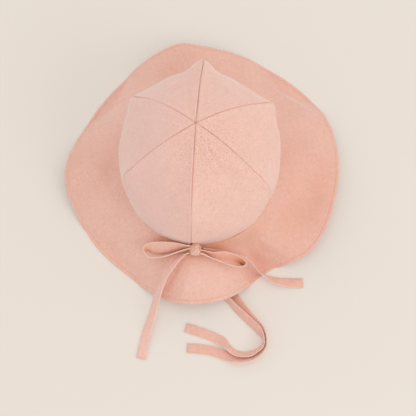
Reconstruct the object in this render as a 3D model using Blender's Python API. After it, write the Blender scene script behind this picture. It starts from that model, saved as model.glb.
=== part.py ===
"""Baby sun hat: six-panel cloth crown, wide wavy brim, a bow at the back and two chin ties.

The hat stands on its brim. +Z is up, +Y is the front of the hat and the bow is at -Y.
The origin lies on the surface below the middle of the brim. Lengths are in metres.
"""
import math

import bmesh
import bpy
from mathutils import Vector

# Crown
HEAD_RADIUS = 0.0745
CROWN_HEIGHT = 0.110
CROWN_WALL = 0.0015

# Brim
SEAT_HEIGHT = 0.036
BRIM_WIDTH = 0.070
BRIM_WALL = 0.0018

# Ties and bow
TIE_WIDTH = 0.010
TIE_WALL = 0.0012
KNOT_WIDTH = 0.012
KNOT_DEPTH = 0.010
KNOT_HEIGHT = 0.010
KNOT_ANGLE = 268.0
LOOP_LEFT_REACH = 0.050
LOOP_RIGHT_REACH = 0.047

# Clearance between pieces that touch on the real hat
SEAM_GAP = 0.0003

# Fineness of the faceted solids
PANEL_COLUMNS = 8
BRIM_COLUMNS = 96
BRIM_ROWS = 8
RIBBON_STEP = 0.0055
KNOT_SIDES = 16
KNOT_RINGS = 9

# A row for each crown panel: the seams at its two sides, as their columns in CROWN_SEAMS.
CROWN_PANELS = (
    # name, right_seam, left_seam
    ("crown_panel_front_left", 1, 2),
    ("crown_panel_left", 2, 3),
    ("crown_panel_back_left", 3, 4),
    ("crown_panel_back_right", 4, 5),
    ("crown_panel_right", 5, 6),
    ("crown_panel_front_right", 0, 1),
)

# A row for each section of the crown, from the brim seam up: the angle of each seam, seen from
# above. The last column is the right seam again, one turn on.
CROWN_SEAMS = (
    # right, front, left, back_left, back, back_right, right_again
    (26.5, 87.5, 146.5, 206.5, 264.0, 326.5, 386.5),
    (26.5, 87.5, 146.5, 206.5, 264.0, 326.5, 386.5),
    (26.5, 87.7, 146.5, 206.0, 264.0, 326.5, 386.5),
    (26.7, 88.0, 146.5, 205.5, 264.0, 326.0, 386.7),
    (26.7, 87.7, 147.0, 207.5, 264.2, 323.5, 386.7),
    (25.5, 87.0, 148.5, 209.5, 264.5, 322.5, 385.5),
    (25.5, 86.5, 148.0, 209.5, 265.0, 322.5, 385.5),
    (26.5, 86.5, 146.5, 209.2, 265.2, 323.0, 386.5),
    (27.3, 86.3, 145.0, 209.2, 265.6, 324.0, 387.3),
    (27.5, 85.5, 144.2, 209.5, 266.0, 325.0, 387.5),
    (27.5, 85.5, 144.2, 209.5, 266.0, 325.0, 387.5),
)

# A row for each section of the crown, from the brim seam up to the apex. Height is a share of
# the crown height. Radius, and how far the section has moved forward and aside (to +X), are
# shares of the head radius. Hexagon says how far the section is from a circle (0) to straight
# runs between the seams (1).
CROWN_SECTIONS = (
    # height, radius, hexagon, forward, aside
    (0.00, 1.000, 0.00, 0.000, 0.000),
    (0.12, 1.020, 0.05, 0.010, 0.005),
    (0.30, 1.060, 0.12, 0.060, 0.012),
    (0.46, 1.080, 0.45, 0.125, 0.016),
    (0.58, 1.065, 0.90, 0.175, 0.012),
    (0.67, 0.990, 1.05, 0.190, 0.005),
    (0.75, 0.860, 0.95, 0.180, -0.005),
    (0.84, 0.680, 0.75, 0.165, -0.015),
    (0.92, 0.470, 0.60, 0.150, -0.022),
    (0.975, 0.250, 0.50, 0.140, -0.028),
    (1.00, 0.015, 0.45, 0.135, -0.030),
)

# A row for each wave of the brim's edge. Reach is a share of the brim width, lift a share of
# the seat height, and arch says how far the cloth bows up (+) or sags (-) between the seam and
# the edge, as a share of the brim width. Where the lift is below 0 the edge lies on the surface.
BRIM_WAVES = (
    # angle, reach, lift, arch
    (10, 0.984, 0.34, 0.02),
    (30, 1.061, 0.12, 0.05),
    (40, 1.059, -0.13, 0.05),
    (50, 1.035, -0.30, 0.05),
    (68, 1.041, 0.10, 0.02),
    (82, 1.019, 0.42, 0.00),
    (90, 1.035, 0.53, -0.01),
    (98, 1.083, 0.55, -0.02),
    (116, 0.983, 0.20, 0.03),
    (134, 0.883, -0.30, 0.06),
    (152, 0.843, -0.05, 0.05),
    (175, 0.875, 0.36, 0.02),
    (184, 0.842, 0.32, 0.03),
    (196, 0.749, 0.12, 0.05),
    (214, 0.675, -0.32, 0.08),
    (232, 0.634, -0.22, 0.08),
    (249, 0.695, 0.20, 0.06),
    (259, 0.755, 0.31, 0.06),
    (268, 0.755, 0.38, 0.06),
    (284, 0.697, 0.28, 0.05),
    (292, 0.638, 0.20, 0.01),
    (298, 0.586, -0.06, -0.03),
    (304, 0.568, -0.30, -0.04),
    (311, 0.590, -0.08, -0.02),
    (318, 0.702, 0.20, 0.00),
    (325, 0.818, 0.34, -0.02),
    (334, 0.869, 0.43, -0.04),
    (352, 0.905, 0.42, -0.03),
)

# A row for each soft fold on the brim: where it lies (angle, and place as a share of the way
# from the seam to the edge), how far it spreads, and its height as a share of the brim width.
BRIM_FOLDS = (
    # angle, place, angle_spread, place_spread, height
    (40, 0.70, 14, 0.16, 0.035),
    (345, 0.60, 16, 0.24, -0.055),
    (106, 0.50, 12, 0.25, -0.040),
    (178, 0.20, 14, 0.18, -0.030),
    (132, 0.45, 10, 0.16, 0.030),
    (300, 0.55, 8, 0.35, -0.060),
    (236, 0.60, 8, 0.40, -0.030),
    (268, 0.60, 16, 0.40, 0.030),
)

# A row for each turn of a bow loop, out from the knot and back. Out, spread (to the front of
# the hat) and rise are measured from the middle of the knot, as shares of the loop's reach.
# Roll is the band's turn from lying flat (0) to standing on edge (90), and width a share of the
# tie width, which is gathered at the knot.
LOOP_LEFT = (
    # out, spread, rise, roll, width
    (0.14, 0.050, 0.030, 82, 0.55),
    (0.39, 0.054, 0.020, 48, 0.90),
    (0.64, 0.050, -0.010, 34, 1.12),
    (0.86, 0.050, -0.060, 38, 1.12),
    (0.965, 0.040, -0.090, 62, 1.00),
    (1.00, -0.014, -0.110, 80, 1.00),
    (0.945, -0.099, -0.105, 76, 1.00),
    (0.855, -0.129, -0.100, 72, 1.00),
    (0.70, -0.134, -0.080, 72, 1.00),
    (0.505, -0.099, -0.030, 74, 1.00),
    (0.31, -0.044, 0.010, 80, 0.85),
    (0.14, -0.002, 0.020, 88, 0.55),
)
LOOP_RIGHT = (
    # out, spread, rise, roll, width
    (0.142, -0.045, 0.030, 94, 0.55),
    (0.35, -0.143, 0.020, 100, 0.85),
    (0.58, -0.157, -0.020, 98, 1.00),
    (0.785, -0.173, -0.085, 98, 1.00),
    (0.93, -0.217, -0.140, 98, 1.00),
    (1.00, -0.262, -0.160, 98, 1.00),
    (0.962, -0.306, -0.160, 108, 1.00),
    (0.83, -0.262, -0.140, 140, 1.00),
    (0.66, -0.222, -0.095, 146, 1.00),
    (0.475, -0.200, -0.040, 128, 1.00),
    (0.29, -0.165, 0.000, 106, 0.85),
    (0.142, -0.100, 0.020, 92, 0.55),
)

# The routes of the loose ties, from where they leave the hat to their free ends. X and Y are
# measured from the crown's axis as shares of the head radius, and Z from the surface as a share
# of the seat height. Roll and width are as in the loops.
TAIL_LEFT = (
    # x, y, z, roll, width
    (-0.1235, -1.1195, 1.111, -84, 0.50),
    (-0.1933, -1.1409, 1.097, -74, 0.80),
    (-0.2819, -1.2134, 1.111, -66, 1.00),
    (-0.3490, -1.2913, 1.028, -68, 1.00),
    (-0.4094, -1.3758, 0.917, -74, 1.00),
    (-0.4564, -1.4523, 0.764, -72, 1.00),
    (-0.5101, -1.5396, 0.597, -50, 1.00),
    (-0.5503, -1.6295, 0.444, -54, 1.00),
    (-0.5879, -1.7369, 0.292, -50, 1.00),
    (-0.6268, -1.8725, 0.183, -42, 1.00),
    (-0.6779, -2.0282, 0.094, -28, 1.00),
    (-0.7154, -2.2000, 0.047, -8, 1.00),
    (-0.7584, -2.4067, 0.033, 0, 1.00),
)
TAIL_RIGHT = (
    # x, y, z, roll, width
    (0.0497, -1.0550, 1.139, 104, 0.50),
    (0.2107, -1.0765, 1.144, 104, 0.85),
    (0.3812, -1.1007, 1.069, 104, 1.00),
    (0.5409, -1.1302, 0.792, 98, 1.00),
    (0.6349, -1.1557, 0.500, 98, 1.00),
    (0.7450, -1.2228, 0.278, 88, 1.00),
    (0.8255, -1.2846, 0.217, 78, 1.00),
    (0.9060, -1.3208, 0.172, 58, 1.00),
    (1.0134, -1.3624, 0.128, 36, 1.00),
    (1.1879, -1.3839, 0.069, 14, 1.00),
    (1.3893, -1.3866, 0.033, 0, 1.00),
)
CHIN_TIE_RIGHT = (
    # x, y, z, roll, width
    (0.9409, -0.1745, 1.042, 0, 1.00),
    (0.9342, -0.1732, 0.667, 0, 1.00),
    (0.9235, -0.1718, 0.306, 0, 1.00),
    (0.8779, -0.1624, 0.089, 0, 1.00),
    (0.7919, -0.2282, 0.033, 0, 1.00),
    (0.5906, -0.5101, 0.033, 0, 1.00),
    (0.3893, -0.8322, 0.033, 0, 1.00),
    (0.2752, -1.0738, 0.033, 0, 1.00),
    (0.2752, -1.2617, 0.039, -2, 1.00),
    (0.358, -1.428, 0.056, -12, 1.00),
    (0.473, -1.584, 0.086, -28, 1.00),
    (0.583, -1.738, 0.097, -32, 1.00),
    (0.677, -1.857, 0.122, -42, 1.00),
    (0.8027, -1.9906, 0.128, -54, 1.00),
    (0.8644, -2.0993, 0.144, -74, 1.00),
    (0.8832, -2.1919, 0.153, -85, 1.00),
    (0.8711, -2.2537, 0.147, -76, 1.00),
    (0.8389, -2.3007, 0.142, -66, 1.00),
    (0.7691, -2.3678, 0.136, -60, 1.00),
    (0.6886, -2.4121, 0.128, -54, 1.00),
    (0.5772, -2.4322, 0.119, -48, 1.00),
    (0.4738, -2.4255, 0.103, -38, 1.00),
    (0.3691, -2.3772, 0.053, -12, 1.00),
    (0.1879, -2.3101, 0.033, 0, 1.00),
    (0.0215, -2.2805, 0.033, 0, 1.00),
    (-0.1557, -2.2671, 0.033, 0, 1.00),
)
CHIN_TIE_LEFT = (
    # x, y, z, roll, width
    (-0.9409, -0.1745, 1.042, 0, 1.00),
    (-0.9342, -0.1732, 0.667, 0, 1.00),
    (-0.9235, -0.1718, 0.306, 0, 1.00),
    (-0.8779, -0.1624, 0.089, 0, 1.00),
    (-0.7919, -0.2550, 0.033, 0, 1.00),
    (-0.6174, -0.5503, 0.033, 0, 1.00),
    (-0.3893, -0.8859, 0.033, 0, 1.00),
    (-0.1611, -1.1544, 0.033, 0, 1.00),
    (0.0537, -1.3557, 0.050, -10, 1.00),
    (0.2215, -1.5034, 0.111, -40, 1.00),
    (0.3799, -1.6242, 0.139, -68, 1.00),
    (0.4953, -1.7490, 0.133, -60, 1.00),
    (0.6295, -1.8819, 0.122, -50, 1.00),
    (0.7732, -2.0201, 0.128, -54, 1.00),
    (0.8295, -2.1047, 0.144, -74, 1.00),
    (0.8510, -2.1772, 0.153, -85, 1.00),
    (0.8403, -2.2295, 0.147, -76, 1.00),
    (0.8174, -2.2631, 0.139, -64, 1.00),
    (0.7557, -2.3128, 0.133, -60, 1.00),
    (0.6779, -2.3490, 0.117, -48, 1.00),
    (0.5946, -2.3597, 0.117, -47, 1.00),
    (0.5060, -2.3477, 0.114, -46, 1.00),
    (0.4389, -2.3141, 0.114, -47, 1.00),
    (0.3718, -2.2483, 0.114, -46, 1.00),
    (0.2980, -2.1718, 0.067, -18, 1.00),
    (0.1732, -2.1114, 0.033, 0, 1.00),
    (0.0148, -2.0523, 0.033, 0, 1.00),
    (-0.1758, -1.9919, 0.033, 0, 1.00),
)


def smooth_step(share):
    """Ease from 0 to 1 with level ends."""
    return share * share * (3.0 - 2.0 * share)


def between_waves(angle, column):
    """Read a column of the brim table at an angle, easing along a curve through its rows."""
    rows = BRIM_WAVES
    count = len(rows)
    angle = angle % 360.0
    for index in range(count):
        start = rows[index][0]
        span = (rows[(index + 1) % count][0] - start) % 360.0
        offset = (angle - start) % 360.0
        if offset <= span:
            break
    values = [rows[(index + step) % count] for step in (-1, 0, 1, 2)]
    angles = [start - (start - values[0][0]) % 360.0, start, start + span]
    angles.append(angles[2] + (values[3][0] - values[2][0]) % 360.0)
    before, here, there, after = (row[column] for row in values)
    slope_here = (there - before) / (angles[2] - angles[0])
    slope_there = (after - here) / (angles[3] - angles[1])
    t = offset / span
    return ((2 * t ** 3 - 3 * t ** 2 + 1) * here + (t ** 3 - 2 * t ** 2 + t) * span * slope_here
            + (3 * t ** 2 - 2 * t ** 3) * there + (t ** 3 - t ** 2) * span * slope_there)


def fold_height(angle, share):
    """Height that the soft folds add to the brim."""
    height = 0.0
    for fold_angle, place, angle_spread, place_spread, rise in BRIM_FOLDS:
        turn = ((angle - fold_angle + 180.0) % 360.0 - 180.0) / angle_spread
        along = (share - place) / place_spread
        height += rise * math.exp(-turn * turn - along * along)
    return height * BRIM_WIDTH * smooth_step(min(1.0, share * 4.0))


def brim_underside(angle, share):
    """Radius and height of the brim's underside, share 0 at the seam and 1 at the edge."""
    reach = between_waves(angle, 1) * BRIM_WIDTH
    lift = between_waves(angle, 2) * SEAT_HEIGHT
    arch = between_waves(angle, 3) * BRIM_WIDTH
    seam_height = SEAT_HEIGHT - BRIM_WALL
    height = seam_height + (lift - seam_height) * share + arch * 4.0 * share * (1.0 - share)
    height += fold_height(angle, share)
    return HEAD_RADIUS + reach * share, max(0.0, height)


def brim_topside(angle, share):
    """The brim's upper face, one cloth wall out from the underside along its normal."""
    step = 0.02
    low_radius, low_height = brim_underside(angle, max(0.0, share - step))
    high_radius, high_height = brim_underside(angle, min(1.0, share + step))
    run = math.hypot(high_radius - low_radius, high_height - low_height)
    radius, height = brim_underside(angle, share)
    across = (low_height - high_height) / run
    up = (high_radius - low_radius) / run
    return radius + BRIM_WALL * across, height + BRIM_WALL * up


def crown_profile(row, half, turn):
    """Radius and height above the seam of the crown's outer face at a section.

    Half is half a panel's angle, and turn is measured from the middle of the panel.
    """
    height, radius, hexagon = CROWN_SECTIONS[row][:3]
    straight = math.cos(half) / math.cos(turn)
    return HEAD_RADIUS * radius * (1.0 - hexagon * (1.0 - straight)), CROWN_HEIGHT * height


def crown_inner_profile(row, half, turn):
    """The crown's inner face, one cloth wall inside the outer face."""
    last = len(CROWN_SECTIONS) - 1
    low = crown_profile(max(0, row - 1), half, turn)
    high = crown_profile(min(last, row + 1), half, turn)
    run = math.hypot(high[0] - low[0], high[1] - low[1])
    out, up = (high[1] - low[1]) / run, (low[0] - high[0]) / run
    radius, height = crown_profile(row, half, turn)
    if row == 0:
        return radius - CROWN_WALL, height
    if row == last:
        return radius, height - CROWN_WALL
    return radius - CROWN_WALL * out, height - CROWN_WALL * up


def brim_centre():
    """Middle of the brim's outline, seen from the crown's axis."""
    xs, ys = [], []
    for column in range(BRIM_COLUMNS):
        angle = 360.0 * column / BRIM_COLUMNS
        radius = max(brim_underside(angle, 1.0)[0], brim_topside(angle, 1.0)[0])
        xs.append(radius * math.cos(math.radians(angle)))
        ys.append(radius * math.sin(math.radians(angle)))
    return Vector(((min(xs) + max(xs)) / 2, (min(ys) + max(ys)) / 2, 0.0))


AXIS_PLACE = -brim_centre()


def placed(radius, angle, height):
    """A point from its radius, angle in degrees and height about the crown's axis."""
    turn = math.radians(angle)
    return AXIS_PLACE + Vector((radius * math.cos(turn), radius * math.sin(turn), height))


def leaned(row, turn, profile):
    """A point of a crown section, which has moved forward and aside from the crown's axis."""
    radius, height = profile
    forward, aside = (HEAD_RADIUS * share for share in CROWN_SECTIONS[row][3:])
    place = Vector((radius * math.cos(turn) + aside, radius * math.sin(turn) + forward, 0.0))
    return AXIS_PLACE + place + Vector((0.0, 0.0, SEAT_HEIGHT + SEAM_GAP + height))


def crown_panel(name, right_seam, left_seam, cloth):
    """One wedge of the crown: an outer and an inner face between two seams."""
    loops = []
    for row, seams in enumerate(CROWN_SEAMS):
        middle = math.radians(seams[right_seam] + seams[left_seam]) / 2
        half = math.radians(seams[left_seam] - seams[right_seam]) / 2
        seam_radius, _ = crown_profile(row, half, half)
        spread = half - math.asin(min(0.9 * math.sin(half), SEAM_GAP / 2 / seam_radius))
        turns = [spread * (2.0 * column / PANEL_COLUMNS - 1.0)
                 for column in range(PANEL_COLUMNS + 1)]
        outer = [leaned(row, middle + turn, crown_profile(row, half, turn)) for turn in turns]
        inner = [leaned(row, middle + turn, crown_inner_profile(row, half, turn))
                 for turn in reversed(turns)]
        loops.append(outer + inner)
    return solid(name, loops, cloth)


def brim(cloth):
    """The brim: a ring of cloth whose inner strip carries the crown."""
    inner = HEAD_RADIUS - CROWN_WALL
    shares = [row / BRIM_ROWS for row in range(1, BRIM_ROWS + 1)]
    shape = bmesh.new()
    sections = []
    for column in range(BRIM_COLUMNS):
        angle = 360.0 * column / BRIM_COLUMNS
        profile = [(inner, SEAT_HEIGHT), (HEAD_RADIUS, SEAT_HEIGHT)]
        profile += [brim_topside(angle, share) for share in shares]
        profile += [brim_underside(angle, share) for share in reversed(shares)]
        profile += [(HEAD_RADIUS, SEAT_HEIGHT - BRIM_WALL), (inner, SEAT_HEIGHT - BRIM_WALL)]
        sections.append([shape.verts.new(placed(radius, angle, height))
                         for radius, height in profile])
    for here, there in zip(sections, sections[1:] + sections[:1]):
        join_loops(shape, here, there)
    return finished("brim", shape, cloth)


def bow_knot(cloth):
    """The knot of the bow, a rounded block against the crown and on the brim."""
    radius = HEAD_RADIUS + 2 * SEAM_GAP + KNOT_DEPTH / 2
    middle = placed(radius, KNOT_ANGLE, SEAT_HEIGHT + SEAM_GAP + KNOT_HEIGHT / 2)
    turn = math.radians(KNOT_ANGLE + 90.0)
    loops = []
    for ring in range(1, KNOT_RINGS + 1):
        rise = math.pi * ring / (KNOT_RINGS + 1) - math.pi / 2
        level = rounded(math.sin(rise))
        size = rounded(math.cos(rise))
        loop = []
        for side in range(KNOT_SIDES):
            round_turn = 2.0 * math.pi * side / KNOT_SIDES
            along = KNOT_WIDTH / 2 * size * rounded(math.cos(round_turn))
            away = KNOT_DEPTH / 2 * size * rounded(math.sin(round_turn))
            offset = (along * math.cos(turn) - away * math.sin(turn),
                      along * math.sin(turn) + away * math.cos(turn), KNOT_HEIGHT / 2 * level)
            loop.append(middle + Vector(offset))
        loops.append(loop)
    solid("bow_knot", loops, cloth)
    return middle


def rounded(value):
    """Push a sine or cosine outwards, so that a ball becomes a block with round corners."""
    return math.copysign(math.sqrt(abs(value)), value)


def loop_route(middle, table, reach, side):
    """The route of a bow loop from its table. Side is -1 for the left and 1 for the right."""
    return [(middle + Vector((side * out * reach, spread * reach, rise * reach)), roll, width)
            for out, spread, rise, roll, width in table]


def tie_route(table):
    """The route of a loose tie from its table."""
    return [(AXIS_PLACE + Vector((HEAD_RADIUS * x, HEAD_RADIUS * y, SEAT_HEIGHT * z)), roll, width)
            for x, y, z, roll, width in table]


def smooth_route(route):
    """Points a short step apart on one smooth curve through the points of a route."""
    rows = [(*point, roll, width) for point, roll, width in route]
    rows = [tuple(2 * a - b for a, b in zip(rows[0], rows[1])), *rows,
            tuple(2 * a - b for a, b in zip(rows[-1], rows[-2]))]
    fine = []
    for index in range(1, len(rows) - 2):
        near = rows[index - 1:index + 3]
        run = math.dist(near[1][:3], near[2][:3])
        steps = max(1, round(run / RIBBON_STEP))
        fine += [tuple(catmull_rom(values, step / steps) for values in zip(*near))
                 for step in range(steps)]
    return fine + [rows[-2]]


def catmull_rom(values, share):
    """A value on the smooth curve between the middle two of four values."""
    before, here, there, after = values
    return here + 0.5 * share * (there - before + share * (
        2 * before - 5 * here + 4 * there - after + share * (3 * (here - there) + after - before)))


def ribbon(name, route, cloth):
    """A flat band of cloth along a route."""
    rows = smooth_route(route)
    points = [Vector(row[:3]) for row in rows]
    upwards = Vector((0.0, 0.0, 1.0))
    loops = []
    for index, (*_, roll, width) in enumerate(rows):
        ahead = points[min(index + 1, len(points) - 1)] - points[max(index - 1, 0)]
        ahead.normalize()
        level = ahead.cross(upwards).normalized()
        rising = level.cross(ahead)
        turn = math.radians(roll)
        across = (level * math.cos(turn) + rising * math.sin(turn)) * (TIE_WIDTH * width / 2)
        out = across.normalized().cross(ahead) * (TIE_WALL / 2)
        middle = points[index]
        middle.z = max(middle.z, abs(across.z) + abs(out.z))
        loops.append([middle + across + out, middle - across + out,
                      middle - across - out, middle + across - out])
    return solid(name, loops, cloth)


def join_loops(shape, here, there):
    """Bridge two closed loops of vertices with a band of faces."""
    for step in range(len(here)):
        following = (step + 1) % len(here)
        shape.faces.new((here[step], here[following], there[following], there[step]))


def solid(name, grid, cloth):
    """Make one solid from a list of closed loops of points, with the first and last capped."""
    shape = bmesh.new()
    loops = [[shape.verts.new(point) for point in loop] for loop in grid]
    for here, there in zip(loops, loops[1:]):
        join_loops(shape, here, there)
    shape.faces.new(tuple(reversed(loops[0])))
    shape.faces.new(tuple(loops[-1]))
    return finished(name, shape, cloth)


def finished(name, shape, cloth):
    """Turn a closed shape into an object with its faces pointing out."""
    bmesh.ops.triangulate(shape, faces=shape.faces)
    bmesh.ops.recalc_face_normals(shape, faces=shape.faces)
    mesh = bpy.data.meshes.new(name)
    shape.to_mesh(mesh)
    shape.free()
    mesh.materials.append(cloth)
    made = bpy.data.objects.new(name, mesh)
    bpy.context.collection.objects.link(made)
    return made


def material(name, colour, roughness):
    """A cloth material with a plain Principled BSDF."""
    made = bpy.data.materials.new(name)
    made.use_nodes = True
    shader = made.node_tree.nodes["Principled BSDF"]
    shader.inputs["Base Color"].default_value = (*colour, 1.0)
    shader.inputs["Roughness"].default_value = roughness
    shader.inputs["Metallic"].default_value = 0.0
    return made


def build():
    """Clear the scene and build the hat."""
    for old in list(bpy.data.objects):
        bpy.data.objects.remove(old, do_unlink=True)
    crown_cloth = material("crown_cloth", (0.83, 0.58, 0.50), 0.9)
    brim_cloth = material("brim_cloth", (0.78, 0.47, 0.39), 0.9)
    tie_cloth = material("tie_cloth", (0.80, 0.50, 0.42), 0.9)
    for name, right_seam, left_seam in CROWN_PANELS:
        crown_panel(name, right_seam, left_seam, crown_cloth)
    brim(brim_cloth)
    knot = bow_knot(tie_cloth)
    ribbon("bow_loop_left", loop_route(knot, LOOP_LEFT, LOOP_LEFT_REACH, -1), tie_cloth)
    ribbon("bow_loop_right", loop_route(knot, LOOP_RIGHT, LOOP_RIGHT_REACH, 1), tie_cloth)
    ribbon("bow_tail_left", tie_route(TAIL_LEFT), tie_cloth)
    ribbon("bow_tail_right", tie_route(TAIL_RIGHT), tie_cloth)
    ribbon("chin_tie_left", tie_route(CHIN_TIE_LEFT), tie_cloth)
    ribbon("chin_tie_right", tie_route(CHIN_TIE_RIGHT), tie_cloth)


build()
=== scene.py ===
"""Looks of the baby sun hat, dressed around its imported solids.

Lengths are in metres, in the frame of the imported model: +Z is up, +Y is the front of the hat
and the bow is at -Y. The cloth pieces follow the same named sizes and tables as the solids.
"""
from __future__ import annotations

import enum
import logging
import math
from dataclasses import dataclass

import bmesh
import bpy
import numpy as np
from mathutils import Matrix, Vector


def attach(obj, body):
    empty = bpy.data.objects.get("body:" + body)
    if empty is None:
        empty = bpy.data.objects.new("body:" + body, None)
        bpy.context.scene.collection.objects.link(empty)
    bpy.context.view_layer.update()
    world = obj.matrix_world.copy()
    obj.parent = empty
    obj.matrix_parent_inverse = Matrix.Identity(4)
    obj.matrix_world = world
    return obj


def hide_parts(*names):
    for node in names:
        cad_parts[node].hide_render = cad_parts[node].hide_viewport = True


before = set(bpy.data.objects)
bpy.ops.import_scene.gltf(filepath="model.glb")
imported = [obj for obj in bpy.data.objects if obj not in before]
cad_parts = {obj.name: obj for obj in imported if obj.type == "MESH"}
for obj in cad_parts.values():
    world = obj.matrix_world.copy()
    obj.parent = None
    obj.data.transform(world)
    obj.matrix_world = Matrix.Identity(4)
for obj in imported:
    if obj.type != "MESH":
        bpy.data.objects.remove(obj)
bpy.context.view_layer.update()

LOG = logging.getLogger("sun_hat")
BODY = "root"
MM = 0.001

# Crown
HEAD_RADIUS = 0.0745
CROWN_HEIGHT = 0.110
CROWN_WALL = 0.0015

# Brim
SEAT_HEIGHT = 0.036
BRIM_WIDTH = 0.070
BRIM_WALL = 0.0018

# Ties and bow
TIE_WIDTH = 0.010
TIE_WALL = 0.0012
KNOT_WIDTH = 0.012
KNOT_DEPTH = 0.010
KNOT_HEIGHT = 0.010
KNOT_ANGLE = 268.0
LOOP_LEFT_REACH = 0.050
LOOP_RIGHT_REACH = 0.047
SEAM_GAP = 0.0003

# A row for each crown panel: its name, the seams at its two sides as their columns in
# CROWN_SEAMS, how far its edge at each seam stands over its neighbour's, and how far its
# middle bulges out (in millimetres).
CROWN_PANELS = (
    # name, right_seam, left_seam, right_ridge, left_ridge, bulge
    ("crown_panel_front_left", 1, 2, 0.55, 0.0, -1.0),
    ("crown_panel_left", 2, 3, 0.0, 0.0, 0.8),
    ("crown_panel_back_left", 3, 4, 0.0, 0.55, 0.8),
    ("crown_panel_back_right", 4, 5, 0.0, 0.0, -0.6),
    ("crown_panel_right", 5, 6, 0.1, 0.1, 0.9),
    ("crown_panel_front_right", 0, 1, 0.0, 0.0, -1.1),
)

# A row for each section of the crown, from the brim seam up: the angle of each seam, seen from
# above. The last column is the right seam again, one turn on.
CROWN_SEAMS = (
    # right, front, left, back_left, back, back_right, right_again
    (26.5, 87.5, 146.5, 206.5, 264.0, 326.5, 386.5),
    (26.5, 87.5, 146.5, 206.5, 264.0, 326.5, 386.5),
    (26.5, 87.7, 146.5, 206.0, 264.0, 326.5, 386.5),
    (26.7, 88.0, 146.5, 205.5, 264.0, 326.0, 386.7),
    (26.7, 87.7, 147.0, 207.5, 264.2, 323.5, 386.7),
    (25.5, 87.0, 148.5, 209.5, 264.5, 322.5, 385.5),
    (25.5, 86.5, 148.0, 209.5, 265.0, 322.5, 385.5),
    (26.5, 86.5, 146.5, 209.2, 265.2, 323.0, 386.5),
    (27.3, 86.3, 145.0, 209.2, 265.6, 324.0, 387.3),
    (27.5, 85.5, 144.2, 209.5, 266.0, 325.0, 387.5),
    (27.5, 85.5, 144.2, 209.5, 266.0, 325.0, 387.5),
)

# A row for each seam of the crown, in the same order: how far its corner stands out, over what
# width and how far beside the seam, how much the panel dips next to it, how much of the corner
# is rounded off over what length (all in millimetres), and how strong the painted shade on its line is.
CROWN_CORNERS = (
    # nose, width, lean, dip, rounding, rounding_length, seam_shade
    (3.9, 7.5, -3.4, 1.65, 4.7, 4.8, 0.34),
    (6.2, 10.0, 1.8, 2.00, 6.2, 4.4, 0.50),
    (3.0, 8.0, 4.0, 0.90, 5.8, 5.4, 0.24),
    (1.2, 7.0, 0.0, 0.66, 1.6, 3.6, 0.34),
    (0.8, 7.0, 0.0, 0.44, 0.8, 3.0, 0.36),
    (0.9, 7.0, 0.0, 0.50, 1.3, 3.4, 0.33),
    (3.9, 7.5, -3.4, 1.65, 4.7, 4.8, 0.34),
)

# A row for each section of the crown, from the brim seam up to the apex. Height is a share of
# the crown height. Radius, and how far the section has moved forward and aside (to +X), are
# shares of the head radius. Hexagon says how far the section is from a circle (0) to straight
# runs between the seams (1).
CROWN_SECTIONS = (
    # height, radius, hexagon, forward, aside
    (0.00, 1.000, 0.00, 0.000, 0.000),
    (0.12, 1.020, 0.05, 0.010, 0.005),
    (0.30, 1.060, 0.12, 0.060, 0.012),
    (0.46, 1.080, 0.45, 0.125, 0.016),
    (0.58, 1.065, 0.90, 0.175, 0.012),
    (0.67, 0.990, 1.05, 0.190, 0.005),
    (0.75, 0.860, 0.95, 0.180, -0.005),
    (0.84, 0.680, 0.75, 0.165, -0.015),
    (0.92, 0.470, 0.60, 0.150, -0.022),
    (0.975, 0.250, 0.50, 0.140, -0.028),
    (1.00, 0.015, 0.45, 0.135, -0.030),
)

# A row for each wave of the brim's edge. Reach is a share of the brim width, lift a share of
# the seat height, and arch says how far the cloth bows up (+) or sags (-) between the seam and
# the edge, as a share of the brim width. Where the lift is below 0 the edge lies on the surface.
BRIM_WAVES = (
    # angle, reach, lift, arch
    (10, 0.984, 0.34, 0.02),
    (30, 1.061, 0.12, 0.05),
    (40, 1.059, -0.13, 0.05),
    (50, 1.035, -0.30, 0.05),
    (68, 1.041, 0.10, 0.02),
    (82, 1.019, 0.42, 0.00),
    (90, 1.035, 0.53, -0.01),
    (98, 1.083, 0.55, -0.02),
    (116, 0.983, 0.20, 0.03),
    (134, 0.883, -0.30, 0.06),
    (152, 0.843, -0.05, 0.05),
    (175, 0.875, 0.36, 0.02),
    (184, 0.842, 0.32, 0.03),
    (196, 0.749, 0.12, 0.05),
    (214, 0.675, -0.32, 0.08),
    (232, 0.634, -0.22, 0.08),
    (249, 0.695, 0.20, 0.06),
    (259, 0.755, 0.31, 0.06),
    (268, 0.755, 0.38, 0.06),
    (284, 0.697, 0.28, 0.05),
    (292, 0.638, 0.20, 0.01),
    (298, 0.586, -0.06, -0.03),
    (304, 0.568, -0.30, -0.04),
    (311, 0.590, -0.08, -0.02),
    (318, 0.702, 0.20, 0.00),
    (325, 0.818, 0.34, -0.02),
    (334, 0.869, 0.43, -0.04),
    (352, 0.905, 0.42, -0.03),
)

# A row for each soft fold on the brim: where it lies (angle, and place as a share of the way
# from the seam to the edge), how far it spreads, and its height as a share of the brim width.
BRIM_FOLDS = (
    # angle, place, angle_spread, place_spread, height
    (40, 0.70, 14, 0.16, 0.035),
    (345, 0.60, 16, 0.24, -0.055),
    (106, 0.50, 12, 0.25, -0.040),
    (178, 0.20, 14, 0.18, -0.030),
    (132, 0.45, 10, 0.16, 0.030),
    (300, 0.55, 8, 0.35, -0.060),
    (236, 0.60, 8, 0.40, -0.030),
    (268, 0.60, 16, 0.40, 0.030),
)

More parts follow.
